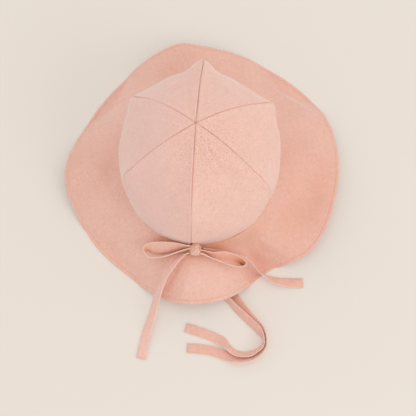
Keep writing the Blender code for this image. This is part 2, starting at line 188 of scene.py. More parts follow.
# A row for each sharper crease of the brim: where it runs from and to (angle, and place as a
# share of the way from the seam to the edge), its half width and its height in millimetres.
BRIM_CREASES = (
    # angle_from, place_from, angle_to, place_to, half_width, height
    (60, 0.74, 33, 0.84, 2.6, 0.9),
    (54, 0.90, 34, 0.94, 1.8, 0.5),
    (134, 0.84, 121, 0.56, 2.2, 0.8),
    (309, 0.36, 316, 0.84, 2.0, -0.7),
    (314, 0.34, 318, 0.70, 1.8, 0.6),
    (106, 0.76, 103, 0.60, 3.0, -1.0),
    (178, 0.22, 175, 0.40, 3.2, -0.9),
    (259, 0.30, 254, 0.92, 2.6, -0.9),
    (264, 0.50, 262, 0.95, 3.4, 0.6),
    (345, 0.30, 352, 0.80, 4.0, -0.8),
    (20, 0.50, 8, 0.85, 4.0, 0.5),
    (214, 0.30, 222, 0.80, 4.0, 0.5),
    (84, 0.40, 80, 0.90, 4.0, -0.6),
)

# A row for each small pucker of a crown panel: along is a share of the crown's rows from the
# brim seam up, across a share of the half panel (from -1 at the right seam to 1 at the left).
CROWN_PUCKERS = (
    # panel, along_from, across_from, along_to, across_to, half_width, height
    ("crown_panel_back_right", 0.86, 0.20, 0.70, 0.34, 1.5, 0.8),
    ("crown_panel_back_right", 0.88, -0.10, 0.66, 0.14, 1.7, -0.9),
    ("crown_panel_back_right", 0.86, -0.35, 0.72, -0.16, 1.5, 0.8),
    ("crown_panel_back_right", 0.74, 0.62, 0.56, 0.70, 2.2, 0.7),
    ("crown_panel_back_right", 0.55, 0.20, 0.34, 0.30, 3.0, -0.7),
    ("crown_panel_right", 0.88, 0.30, 0.78, 0.45, 1.5, -0.6),
    ("crown_panel_back_left", 0.86, 0.30, 0.78, 0.10, 1.8, -0.4),
    ("crown_panel_back_left", 0.70, -0.40, 0.56, -0.60, 2.4, 0.5),
    ("crown_panel_front_left", 0.70, 0.40, 0.62, -0.30, 2.6, 1.2),
    ("crown_panel_front_left", 0.76, 0.55, 0.70, 0.05, 2.0, -0.9),
    ("crown_panel_left", 0.62, 0.20, 0.40, -0.20, 3.2, 1.2),
    ("crown_panel_left", 0.66, -0.35, 0.50, 0.30, 2.4, -0.8),
    ("crown_panel_front_right", 0.70, 0.50, 0.60, 0.10, 2.8, 0.5),
)

# A row for each turn of a bow loop, out from the knot and back. Out, spread (to the front of
# the hat) and rise are measured from the middle of the knot, as shares of the loop's reach.
# Roll is the band's turn from lying flat (0) to standing on edge (90), and width a share of the
# tie width, which is gathered at the knot.
LOOP_LEFT = (
    # out, spread, rise, roll, width
    (0.14, 0.050, 0.030, 82, 0.55),
    (0.39, 0.054, 0.020, 48, 0.90),
    (0.64, 0.050, -0.010, 34, 1.12),
    (0.86, 0.050, -0.060, 38, 1.12),
    (0.965, 0.040, -0.090, 62, 1.00),
    (1.00, -0.014, -0.110, 80, 1.00),
    (0.945, -0.099, -0.105, 76, 1.00),
    (0.855, -0.129, -0.100, 72, 1.00),
    (0.70, -0.134, -0.080, 72, 1.00),
    (0.505, -0.099, -0.030, 74, 1.00),
    (0.31, -0.044, 0.010, 80, 0.85),
    (0.14, -0.002, 0.020, 88, 0.55),
)
LOOP_RIGHT = (
    # out, spread, rise, roll, width
    (0.142, -0.045, 0.030, 94, 0.55),
    (0.35, -0.125, 0.020, 116, 0.85),
    (0.58, -0.124, -0.020, 124, 1.00),
    (0.785, -0.160, -0.085, 122, 1.00),
    (0.93, -0.209, -0.140, 112, 1.00),
    (1.01, -0.272, -0.160, 104, 1.00),
    (0.962, -0.306, -0.160, 108, 1.00),
    (0.83, -0.262, -0.140, 140, 1.00),
    (0.66, -0.222, -0.095, 146, 1.00),
    (0.475, -0.200, -0.040, 128, 1.00),
    (0.29, -0.165, 0.000, 106, 0.85),
    (0.142, -0.100, 0.020, 92, 0.55),
)

# The routes of the loose ties, from where they leave the hat to their free ends. X and Y are
# measured from the crown's axis as shares of the head radius, and Z from the surface as a share
# of the seat height. Roll and width are as in the loops.
TAIL_LEFT = (
    # x, y, z, roll, width
    (-0.1235, -1.1195, 1.111, -84, 0.50),
    (-0.1933, -1.1409, 1.097, -64, 0.80),
    (-0.2819, -1.2134, 1.111, -54, 1.00),
    (-0.3490, -1.2913, 1.028, -54, 1.00),
    (-0.4094, -1.3758, 0.917, -58, 1.00),
    (-0.4564, -1.4523, 0.764, -56, 1.00),
    (-0.5101, -1.5396, 0.597, -48, 1.00),
    (-0.5503, -1.6295, 0.444, -44, 1.00),
    (-0.5879, -1.7369, 0.292, -40, 1.00),
    (-0.6268, -1.8725, 0.183, -34, 1.00),
    (-0.6779, -2.0282, 0.094, -28, 1.00),
    (-0.7154, -2.2000, 0.047, -8, 1.00),
    (-0.7584, -2.4067, 0.033, 0, 1.00),
)
TAIL_RIGHT = (
    # x, y, z, roll, width
    (0.0497, -1.0700, 1.110, 118, 0.50),
    (0.2107, -1.1150, 1.065, 138, 0.85),
    (0.3812, -1.1420, 0.945, 138, 1.00),
    (0.5409, -1.1450, 0.730, 116, 1.00),
    (0.6349, -1.1557, 0.500, 98, 1.00),
    (0.7450, -1.2228, 0.278, 88, 1.00),
    (0.8255, -1.2846, 0.217, 78, 1.00),
    (0.9060, -1.3208, 0.172, 58, 1.00),
    (1.0134, -1.3624, 0.128, 36, 1.00),
    (1.1879, -1.3839, 0.069, 14, 1.00),
    (1.3893, -1.3866, 0.033, 0, 1.00),
)
CHIN_TIE_RIGHT = (
    # x, y, z, roll, width
    (0.9409, -0.1745, 1.042, 0, 1.00),
    (0.9342, -0.1732, 0.667, 0, 1.00),
    (0.9235, -0.1718, 0.306, 0, 1.00),
    (0.8779, -0.1624, 0.089, 0, 1.00),
    (0.7919, -0.2282, 0.033, 0, 1.00),
    (0.5906, -0.5101, 0.033, 0, 1.00),
    (0.3893, -0.8322, 0.033, 0, 1.00),
    (0.2752, -1.0738, 0.033, 0, 1.00),
    (0.2752, -1.2617, 0.039, -2, 1.00),
    (0.358, -1.428, 0.056, -12, 1.00),
    (0.473, -1.584, 0.086, -28, 1.00),
    (0.583, -1.738, 0.097, -32, 1.00),
    (0.677, -1.857, 0.122, -42, 1.00),
    (0.8027, -1.9906, 0.128, -54, 1.00),
    (0.8644, -2.0993, 0.144, -74, 1.00),
    (0.8832, -2.1919, 0.153, -85, 1.00),
    (0.8711, -2.2537, 0.147, -76, 1.00),
    (0.8389, -2.3007, 0.142, -66, 1.00),
    (0.7691, -2.3678, 0.136, -60, 1.00),
    (0.6886, -2.4121, 0.128, -54, 1.00),
    (0.5772, -2.4322, 0.119, -48, 1.00),
    (0.4738, -2.4255, 0.103, -38, 1.00),
    (0.3691, -2.3772, 0.053, -12, 1.00),
    (0.1879, -2.3101, 0.033, 0, 1.00),
    (0.0215, -2.2805, 0.033, 0, 1.00),
    (-0.1557, -2.2671, 0.033, 0, 1.00),
)
CHIN_TIE_LEFT = (
    # x, y, z, roll, width
    (-0.9409, -0.1745, 1.042, 0, 1.00),
    (-0.9342, -0.1732, 0.667, 0, 1.00),
    (-0.9235, -0.1718, 0.306, 0, 1.00),
    (-0.8779, -0.1624, 0.089, 0, 1.00),
    (-0.7919, -0.2550, 0.033, 0, 1.00),
    (-0.6174, -0.5503, 0.033, 0, 1.00),
    (-0.3893, -0.8859, 0.033, 0, 1.00),
    (-0.1611, -1.1544, 0.033, 0, 1.00),
    (0.0537, -1.3557, 0.050, -10, 1.00),
    (0.2215, -1.5034, 0.111, -40, 1.00),
    (0.3799, -1.6242, 0.139, -68, 1.00),
    (0.4953, -1.7490, 0.133, -60, 1.00),
    (0.6295, -1.8819, 0.122, -50, 1.00),
    (0.7732, -2.0201, 0.128, -54, 1.00),
    (0.8295, -2.1047, 0.144, -74, 1.00),
    (0.8510, -2.1772, 0.153, -85, 1.00),
    (0.8403, -2.2295, 0.147, -76, 1.00),
    (0.8174, -2.2631, 0.139, -64, 1.00),
    (0.7557, -2.3128, 0.133, -60, 1.00),
    (0.6779, -2.3490, 0.117, -48, 1.00),
    (0.5946, -2.3597, 0.117, -47, 1.00),
    (0.5060, -2.3477, 0.114, -46, 1.00),
    (0.4389, -2.3141, 0.114, -47, 1.00),
    (0.3718, -2.2483, 0.114, -46, 1.00),
    (0.2980, -2.1718, 0.067, -18, 1.00),
    (0.1732, -2.1114, 0.033, 0, 1.00),
    (0.0148, -2.0523, 0.033, 0, 1.00),
    (-0.1758, -1.9919, 0.033, 0, 1.00),
)

# A row for each place that the knot's outer fold passes: across, away from the crown and up, as
# shares of half the knot, with the band's width as a share of the tie width.
KNOT_WRAP = (
    # across, away, up, width
    (0.30, -1.00, 0.10, 0.34),
    (0.28, -0.80, 0.80, 0.34),
    (0.26, -0.35, 1.14, 0.30),
    (0.17, 0.20, 1.14, 0.36),
    (0.12, 0.74, 0.84, 0.68),
    (0.08, 1.00, 0.06, 0.98),
    (0.06, 0.90, -0.70, 1.12),
)
KNOT_FOLD = (
    # across, away, up, width
    (-0.92, 0.60, -0.30, 0.50),
    (-0.86, 0.38, 0.45, 0.58),
    (-0.62, -0.12, 0.98, 0.62),
    (-0.20, -0.58, 1.12, 0.55),
    (0.20, -0.92, 0.75, 0.45),
    (0.35, -1.00, 0.10, 0.40),
)


# A row for each angle: how far the brim curves up to meet the crown, in millimetres.
BRIM_ROOTS = (
    # angle, rise
    (0, 2.5),
    (60, 1.0),
    (120, 1.0),
    (175, 2.5),
    (215, 4.0),
    (246, 2.0),
    (268, 1.0),
    (288, 3.5),
    (316, 5.5),
    (342, 4.0),
)

# A row for each patch of painted shading on the brim, painted shade where the strength is above 0
# and painted light where it is below 0: angle and place, how far it spreads, and how strong it is.
BRIM_PAINTED_SHADING = (
    # angle, place, angle_spread, place_spread, strength
    (268, 0.10, 20, 0.16, 0.62),
    (248, 0.05, 12, 0.14, 0.50),
    (282, 0.08, 12, 0.10, 0.35),
    (310, 0.10, 16, 0.14, 0.28),
    (338, 0.46, 13, 0.22, 0.21),
    (356, 0.74, 14, 0.22, 0.15),
    (8, 0.60, 22, 0.40, 0.04),
    (104, 0.68, 5, 0.16, 0.12),
    (177, 0.28, 9, 0.16, 0.12),
    (308, 0.50, 4, 0.45, 0.12),
    (256, 0.60, 3, 0.35, 0.14),
    (338, 0.50, 32, 0.50, 0.045),
    (90, 0.60, 26, 0.50, 0.03),
    (232, 0.55, 34, 0.55, -0.12),
    (275, 0.60, 16, 0.40, -0.12),
    (132, 0.65, 22, 0.45, -0.14),
)


class Side(enum.Enum):
    """Which side of the knot a bow loop lies on."""

    LEFT = -1
    RIGHT = 1


class GrainMap(enum.Enum):
    """The maps that the cloth patterns follow."""

    CLOTH = "cloth"


class Mask(enum.Enum):
    """What is stored at a piece's points for its material: painted shade, painted light and dark flecks."""

    DEEP = "deep"
    FLECK = "fleck"
    PALE = "pale"


@dataclass(frozen=True)
class ClothFinish:
    """One woven cloth: its colour, grain and shine.

    The thread, slub and mottle sizes are in metres.
    """

    name: str
    slot: str
    colour: tuple[float, float, float]
    shade: tuple[float, float, float]
    # Colours of the painted shade, which the dark flecks also take, and of the painted light.
    deep: tuple[float, float, float] = (0.50, 0.205, 0.115)
    pale: tuple[float, float, float] = (0.98, 0.75, 0.67)
    thread: float = 0.00062
    slub: float = 0.0011
    slub_length: float = 0.0085
    mottle: float = 0.024
    turn: float = 0.0
    relief: float = 0.00016
    roughness: float = 0.88
    sheen: float = 0.70
    contrast: float = 1.0
    depth: float = 0.12


CROWN_CLOTH = ClothFinish("crown_cloth_look", "crown_cloth", (0.895, 0.59, 0.508), (0.755, 0.455, 0.372),
                          deep=(0.62, 0.20, 0.085), pale=(0.82, 0.565, 0.535), slub=0.0008, slub_length=0.007, contrast=1.15)
BRIM_CLOTH = ClothFinish("brim_cloth_look", "brim_cloth", (0.86, 0.535, 0.448), (0.715, 0.395, 0.305),
                         deep=(0.70, 0.30, 0.155), turn=36.0,
                         slub=0.0007, slub_length=0.006, contrast=1.05)
TIE_CLOTH = ClothFinish("tie_cloth_look", "tie_cloth", (0.885, 0.56, 0.472), (0.735, 0.405, 0.322),
                        deep=(0.74, 0.33, 0.15), thread=0.0005,
                        slub_length=0.006)
THREAD = ClothFinish("stitch_thread_look", "brim_cloth", (0.70, 0.40, 0.33), (0.58, 0.30, 0.24), thread=0.0003,
                     slub_length=0.002)


class WovenCloth:
    """The shared weave group and the cloth materials that use it."""

    GROUP = "woven_cloth"

    def __init__(self) -> None:
        """Build the weave group once."""
        self.group = self._group()
        self.made: dict[str, bpy.types.Material] = {}

    @staticmethod
    def _math(tree: bpy.types.NodeTree, operation: str, first: object, second: object) -> bpy.types.NodeSocket:
        """Add a math node.

        Args:
            tree: The node tree that it goes in.
            operation: The name of the operation.
            first: A number or a socket.
            second: A number or a socket.

        Returns:
            The node's output socket.
        """
        node = tree.nodes.new("ShaderNodeMath")
        node.operation = operation
        for socket, value in zip(node.inputs, (first, second)):
            if isinstance(value, bpy.types.NodeSocket):
                tree.links.new(value, socket)
            else:
                socket.default_value = value
        return node.outputs[0]

    @staticmethod
    def _mix(tree: bpy.types.NodeTree, share: object, first: object, second: object) -> bpy.types.NodeSocket:
        """Add a colour mix.

        Args:
            tree: The node tree that it goes in.
            share: The share of the second colour, a number or a socket.
            first: The first colour's socket.
            second: The second colour's socket.

        Returns:
            The mixed colour's socket.
        """
        node = tree.nodes.new("ShaderNodeMix")
        node.data_type = "RGBA"
        sockets = (node.inputs[0], node.inputs[6], node.inputs[7])
        for socket, value in zip(sockets, (share, first, second)):
            if isinstance(value, bpy.types.NodeSocket):
                tree.links.new(value, socket)
            else:
                socket.default_value = value
        return node.outputs[2]

    def _noise(self, tree: bpy.types.NodeTree, place: bpy.types.NodeSocket, sizes: tuple[object, object],
               detail: float) -> bpy.types.NodeSocket:
        """Add a noise whose spots are longer one way than the other.

        Args:
            tree: The node tree that it goes in.
            place: The place on the cloth, in metres.
            sizes: The spots' two sizes in metres, numbers or sockets.
            detail: How much finer detail it has.

        Returns:
            The noise's value socket.
        """
        parts = tree.nodes.new("ShaderNodeSeparateXYZ")
        tree.links.new(place, parts.inputs[0])
        joined = tree.nodes.new("ShaderNodeCombineXYZ")
        for index, size in enumerate(sizes):
            tree.links.new(self._math(tree, "DIVIDE", parts.outputs[index], size), joined.inputs[index])
        noise = tree.nodes.new("ShaderNodeTexNoise")
        noise.inputs["Scale"].default_value = 1.0
        noise.inputs["Detail"].default_value = detail
        tree.links.new(joined.outputs[0], noise.inputs["Vector"])
        return noise.outputs[0]

    def _group(self) -> bpy.types.NodeTree:
        """Build the weave group, with its colour, relief and roughness changing over the cloth.

        Returns:
            The node group.
        """
        tree = bpy.data.node_groups.new(self.GROUP, "ShaderNodeTree")
        face = tree.interface
        face.new_socket("Place", in_out="INPUT", socket_type="NodeSocketVector")
        face.new_socket("Colour", in_out="INPUT", socket_type="NodeSocketColor")
        face.new_socket("Shade", in_out="INPUT", socket_type="NodeSocketColor")
        face.new_socket("Painted Shade And Fleck Colour", in_out="INPUT", socket_type="NodeSocketColor")
        face.new_socket("Painted Shade", in_out="INPUT", socket_type="NodeSocketFloat")
        face.new_socket("Fleck", in_out="INPUT", socket_type="NodeSocketFloat")
        face.new_socket("Painted Light Colour", in_out="INPUT", socket_type="NodeSocketColor")
        face.new_socket("Painted Light", in_out="INPUT", socket_type="NodeSocketFloat")
        for name in ("Thread", "Slub", "Slub Length", "Mottle", "Roughness", "Contrast"):
            face.new_socket(name, in_out="INPUT", socket_type="NodeSocketFloat")
        face.new_socket("Colour", in_out="OUTPUT", socket_type="NodeSocketColor")
        face.new_socket("Relief", in_out="OUTPUT", socket_type="NodeSocketFloat")
        face.new_socket("Roughness", in_out="OUTPUT", socket_type="NodeSocketFloat")
        given = tree.nodes.new("NodeGroupInput").outputs
        put = tree.nodes.new("NodeGroupOutput").inputs
        place = given["Place"]
        warp = self._noise(tree, place, (given["Slub"], given["Slub Length"]), 2.0)
        weft = self._noise(tree, place, (given["Slub Length"], given["Slub"]), 2.0)
        mottle = self._noise(tree, place, (given["Mottle"], given["Mottle"]), 3.0)
        fine = self._noise(tree, place, (self._math(tree, "MULTIPLY", given["Thread"], 1.5),
                                         self._math(tree, "MULTIPLY", given["Thread"], 6.0)), 1.0)
        parts = tree.nodes.new("ShaderNodeSeparateXYZ")
        tree.links.new(place, parts.inputs[0])
        waves = []
        for axis in (0, 1):
            turns = self._math(tree, "DIVIDE", parts.outputs[axis], given["Thread"])
            bent = self._math(tree, "ADD", turns, self._math(tree, "MULTIPLY", (warp, weft)[axis], 1.4))
            waves.append(self._math(tree, "SINE", self._math(tree, "MULTIPLY", bent, math.pi), 0.0))
        weave = self._math(tree, "MULTIPLY", waves[0], waves[1])
        grain = self._math(tree, "ADD", warp, weft)
        dark = self._math(tree, "SUBTRACT", 1.46, self._math(tree, "MULTIPLY", grain, 1.15))
        dark = self._math(tree, "ADD", dark, self._math(tree, "MULTIPLY", weave, -0.10))
        dark = self._math(tree, "ADD", dark, self._math(tree, "MULTIPLY", fine, 0.80))
        dark = self._math(tree, "SUBTRACT", dark, self._math(tree, "MULTIPLY", mottle, 0.50))
        share = tree.nodes.new("ShaderNodeClamp")
        spread = self._math(tree, "MULTIPLY", self._math(tree, "SUBTRACT", dark, 0.46), given["Contrast"])
        tree.links.new(self._math(tree, "ADD", spread, 0.36), share.inputs["Value"])
        woven = self._mix(tree, share.outputs[0], given["Colour"], given["Shade"])
        spots = self._noise(tree, place, (1.15 * MM, 1.9 * MM), 1.0)
        spots = self._math(tree, "MULTIPLY", self._math(tree, "SUBTRACT", spots, 0.50), 6.0)
        spot = tree.nodes.new("ShaderNodeClamp")
        tree.links.new(spots, spot.inputs["Value"])
        flecks = self._math(tree, "MULTIPLY", self._math(tree, "MULTIPLY", spot.outputs[0], given["Fleck"]), 0.42)
        # The dark flecks take the colour of the painted shade; then painted shade and painted light are mixed in by
        # their masks.
        flecked = self._mix(tree, flecks, woven, given["Painted Shade And Fleck Colour"])
        with_painted_shade = self._mix(tree, given["Painted Shade"], flecked, given["Painted Shade And Fleck Colour"])
        tree.links.new(self._mix(tree, given["Painted Light"], with_painted_shade, given["Painted Light Colour"]), put["Colour"])
        height = self._math(tree, "ADD", self._math(tree, "MULTIPLY", weave, 0.35), self._math(tree, "MULTIPLY", grain, 1.1))
        tree.links.new(height, put["Relief"])
        rough = self._math(tree, "ADD", given["Roughness"], self._math(tree, "MULTIPLY", mottle, 0.08))
        tree.links.new(rough, put["Roughness"])
        return tree

    def material(self, finish: ClothFinish) -> bpy.types.Material:
        """Make a cloth's material, or find it if it is made already.

        Args:
            finish: The cloth.

        Returns:
            The material.
        """
        if finish.name in self.made:
            return self.made[finish.name]
        made = bpy.data.materials.new(finish.name)
        made.use_nodes = True
        tree = made.node_tree
        shader = tree.nodes["Principled BSDF"]
        grain = tree.nodes.new("ShaderNodeUVMap")
        grain.uv_map = GrainMap.CLOTH.value
        turned = tree.nodes.new("ShaderNodeMapping")
        turned.inputs["Rotation"].default_value[2] = math.radians(finish.turn)
        weave = tree.nodes.new("ShaderNodeGroup")
        weave.node_tree = self.group
        tree.links.new(grain.outputs[0], turned.inputs["Vector"])
        tree.links.new(turned.outputs[0], weave.inputs["Place"])
        values = {"Thread": finish.thread, "Slub": finish.slub, "Slub Length": finish.slub_length,
                  "Mottle": finish.mottle, "Roughness": finish.roughness - 0.04, "Contrast": finish.contrast}
        for name, value in values.items():
            weave.inputs[name].default_value = value
        weave.inputs["Colour"].default_value = (*finish.colour, 1.0)
        weave.inputs["Shade"].default_value = (*finish.shade, 1.0)
        weave.inputs["Painted Shade And Fleck Colour"].default_value = (*finish.deep, 1.0)
        weave.inputs["Painted Light Colour"].default_value = (*finish.pale, 1.0)
        # Painted shade, dark flecks and painted light are read from the masks stored at the piece's points.
        for mask, socket in ((Mask.DEEP, "Painted Shade"), (Mask.FLECK, "Fleck"), (Mask.PALE, "Painted Light")):
            stored = tree.nodes.new("ShaderNodeAttribute")
            stored.attribute_name = mask.value
            tree.links.new(stored.outputs["Fac"], weave.inputs[socket])
        bump = tree.nodes.new("ShaderNodeBump")
        bump.inputs["Strength"].default_value = 0.6
        bump.inputs["Distance"].default_value = finish.relief
        tree.links.new(weave.outputs["Relief"], bump.inputs["Height"])
        tree.links.new(bump.outputs[0], shader.inputs["Normal"])
        tree.links.new(weave.outputs["Colour"], shader.inputs["Base Color"])
        tree.links.new(weave.outputs["Roughness"], shader.inputs["Roughness"])
        shader.inputs["Sheen Weight"].default_value = finish.sheen
        shader.inputs["Sheen Roughness"].default_value = 0.45
        shader.inputs["Sheen Tint"].default_value = (1.0, 0.90, 0.85, 1.0)
        shader.inputs["Subsurface Weight"].default_value = finish.depth
        shader.inputs["Subsurface Radius"].default_value = (1.0, 0.35, 0.20)
        shader.inputs["Subsurface Scale"].default_value = 0.0025
        shader.inputs["Specular IOR Level"].default_value = 0.25
        self.made[finish.name] = made
        return made


def smooth_step(share: np.ndarray) -> np.ndarray:
    """Ease from 0 to 1 with level ends."""
    return share * share * (3.0 - 2.0 * share)


def closed_curve(rows: tuple, column: int, angle: np.ndarray) -> np.ndarray:
    """Read a column of a table of angles, easing round a closed curve through its rows.

    Args:
        rows: The table, whose first column is the angle in degrees.
        column: The column to read.
        angle: The angles to read it at.

    Returns:
        The values.
    """
    knots = np.array([row[0] for row in rows], float)
    values = np.array([row[column] for row in rows], float)
    spans = np.mod(np.roll(knots, -1) - knots, 360.0)
    slopes = (np.roll(values, -1) - np.roll(values, 1)) / (spans + np.roll(spans, 1))
    offset = np.mod(angle - knots[0], 360.0)
    index = np.clip(np.searchsorted(knots - knots[0], offset, side="right") - 1, 0, len(rows) - 1)
    following = (index + 1) % len(rows)
    span = spans[index]
    t = (offset - (knots[index] - knots[0])) / span
    return ((2 * t ** 3 - 3 * t ** 2 + 1) * values[index] + (t ** 3 - 2 * t ** 2 + t) * span * slopes[index]
            + (3 * t ** 2 - 2 * t ** 3) * values[following] + (t ** 3 - t ** 2) * span * slopes[following])


def open_curve(values: np.ndarray, place: np.ndarray) -> np.ndarray:
    """Read rows of values along a smooth open curve.

    Args:
        values: The rows, one for each whole place.
        place: The places to read, from 0 to the last row.

    Returns:
        A row of values for each place.
    """
    rows = np.vstack([2 * values[:1] - values[1:2], values, 2 * values[-1:] - values[-2:-1]])
    index = np.clip(np.floor(place).astype(int), 0, len(values) - 2)
    share = (place - index)[..., None]
    before, here, there, after = (rows[index + step] for step in range(4))
    return here + 0.5 * share * (there - before + share * (
        2 * before - 5 * here + 4 * there - after + share * (3 * (here - there) + after - before)))


def unit(vectors: np.ndarray) -> np.ndarray:
    """Vectors of the same direction, one unit long."""
    return vectors / np.maximum(np.linalg.norm(vectors, axis=-1, keepdims=True), 1e-12)


def bell(distance: np.ndarray, width: float) -> np.ndarray:
    """A smooth bump of height 1 at distance 0."""
    return np.exp(-(distance / width) ** 2)


def turned(angle: np.ndarray, start: float) -> np.ndarray:
    """How far angles lie from another one.

    Args:
        angle: The angles in degrees.
        start: The angle in degrees that they are measured from.

    Returns:
        The shorter way round, from -180 to 180.
    """
    return np.mod(angle - start + 180.0, 360.0) - 180.0


def crease(across: np.ndarray, along: np.ndarray, start: tuple[float, float], end: tuple[float, float],
           half_width: float, height: float) -> np.ndarray:
    """Height of a straight crease with ends that fade away.

    Args:
        across: The first coordinate of each place on the cloth, in metres.
        along: The second coordinate.
        start: The crease's first end.
        end: Its other end.
        half_width: Its half width in metres.
        height: Its height in metres.

    Returns:
        The height at each place.
    """
    run = np.array(end) - np.array(start)
    length = np.linalg.norm(run)
    run = run / length
    ahead = (across - start[0]) * run[0] + (along - start[1]) * run[1]
    aside = (across - start[0]) * run[1] - (along - start[1]) * run[0]
    over = np.maximum(0.0, np.abs(ahead - length / 2) - length / 4)
    return height * bell(aside, half_width) * bell(over, length / 4)


def reach_at(angle: np.ndarray) -> np.ndarray:
    """How far the brim reaches from its seam at an angle."""
    return closed_curve(BRIM_WAVES, 1, angle) * BRIM_WIDTH


def brim_profile(angle: np.ndarray, share: np.ndarray) -> tuple[np.ndarray, np.ndarray]:
    """Radius and height of the brim's underside, share 0 at the seam and 1 at the edge.

    Args:
        angle: The angles in degrees.
        share: The shares of the way from the seam to the edge.

    Returns:
        The radii and the heights.
    """
    reach = closed_curve(BRIM_WAVES, 1, angle) * BRIM_WIDTH
    lift = closed_curve(BRIM_WAVES, 2, angle) * SEAT_HEIGHT
    arch = closed_curve(BRIM_WAVES, 3, angle) * BRIM_WIDTH
    seam_height = SEAT_HEIGHT - BRIM_WALL
    height = seam_height + (lift - seam_height) * share + arch * 4.0 * share * (1.0 - share)
    folds = np.zeros_like(height)
    for fold_angle, place, angle_spread, place_spread, rise in BRIM_FOLDS:
        turn = (np.mod(angle - fold_angle + 180.0, 360.0) - 180.0) / angle_spread
        along = (share - place) / place_spread
        folds += rise * np.exp(-turn * turn - along * along)
    height = height + folds * BRIM_WIDTH * smooth_step(np.clip(share * 4.0, 0.0, 1.0))
    return HEAD_RADIUS + reach * share, height


def brim_centre() -> np.ndarray:
    """Middle of the brim's outline, seen from the crown's axis, as the solids have it."""
    angle = np.arange(96) * 360.0 / 96
    one = np.ones_like(angle)
    radius = brim_profile(angle, one)[0]
    low, high = brim_profile(angle, one - 0.02), brim_profile(angle, one)
    low_height, high_height = np.maximum(0.0, low[1]), np.maximum(0.0, high[1])
    run = np.hypot(high[0] - low[0], high_height - low_height)
    radius = np.maximum(radius, radius + BRIM_WALL * (low_height - high_height) / run)
    xs, ys = radius * np.cos(np.radians(angle)), radius * np.sin(np.radians(angle))
    return np.array([(xs.min() + xs.max()) / 2, (ys.min() + ys.max()) / 2, 0.0])


AXIS_PLACE = -brim_centre()


def placed(radius: np.ndarray, angle: np.ndarray, height: np.ndarray) -> np.ndarray:
    """Points from their radius, angle in degrees and height about the crown's axis."""
    turn = np.radians(angle)
    return AXIS_PLACE + np.stack([radius * np.cos(turn), radius * np.sin(turn), height + 0.0 * radius], axis=-1)


def smoothed_piece(name: str, finish: ClothFinish, cloth: WovenCloth, mesh: bpy.types.Mesh) -> bpy.types.Object:
    """Make a dressed object of a mesh and let it ride on the hat.

    Args:
        name: The object's name.
        finish: Its cloth.
        cloth: The maker of cloth materials.
        mesh: Its mesh.

    Returns:
        The object.
    """
    mesh.shade_smooth()
    mesh.materials.append(cloth.material(finish))
    made = bpy.data.objects.new(name, mesh)
    bpy.context.collection.objects.link(made)
    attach(made, BODY)
    LOG.info("%s: %d faces", name, len(mesh.polygons))
    return made


def skin(name: str, loops: np.ndarray, grain: np.ndarray, ring: bool = False,
         masks: dict[Mask, np.ndarray] | None = None) -> bpy.types.Mesh:
    """Make a closed mesh of closed loops of points.

    Args:
        name: The mesh's name.
        loops: The points, a row for each loop.
        grain: The cloth coordinates of the same points, in metres.
        ring: Whether the last loop joins the first. Otherwise both end loops are closed.
        masks: Values between 0 and 1 at the same points, for the material.

    Returns:
        The mesh, with its faces pointing out.
    """
    count, size = loops.shape[:2]
    last = count if ring else count - 1
    row, step = np.meshgrid(np.arange(last), np.arange(size), indexing="ij")
    following, beside = (row + 1) % count, (step + 1) % size
    corners = np.stack([row * size + step, row * size + beside, following * size + beside,
                        following * size + step], axis=-1).reshape(-1, 4)
    if not ring:
        half = size // 2
        near = np.arange(half - 1)
        for start, turned in ((0, True), ((count - 1) * size, False)):
            cap = np.stack([near, near + 1, size - 2 - near, size - 1 - near], axis=-1) + start
            corners = np.vstack([corners, cap[:, ::-1] if turned else cap])
    points = loops.reshape(-1, 3)
    quads = points[corners]
    volume = np.einsum("ij,ij->i", quads[:, 0], np.cross(quads[:, 1], quads[:, 2])).sum()
    volume += np.einsum("ij,ij->i", quads[:, 0], np.cross(quads[:, 2], quads[:, 3])).sum()
    if volume < 0:
        corners = corners[:, ::-1]
    mesh = bpy.data.meshes.new(name)
    mesh.from_pydata(points.tolist(), [], corners.tolist())
    layer = mesh.uv_layers.new(name=GrainMap.CLOTH.value)
    layer.data.foreach_set("uv", grain.reshape(-1, 2)[corners.ravel()].ravel())
    for mask, values in (masks or {}).items():
        stored = mesh.attributes.new(mask.value, "FLOAT", "POINT")
        stored.data.foreach_set("value", np.clip(values, 0.0, 1.0).ravel())
    return mesh


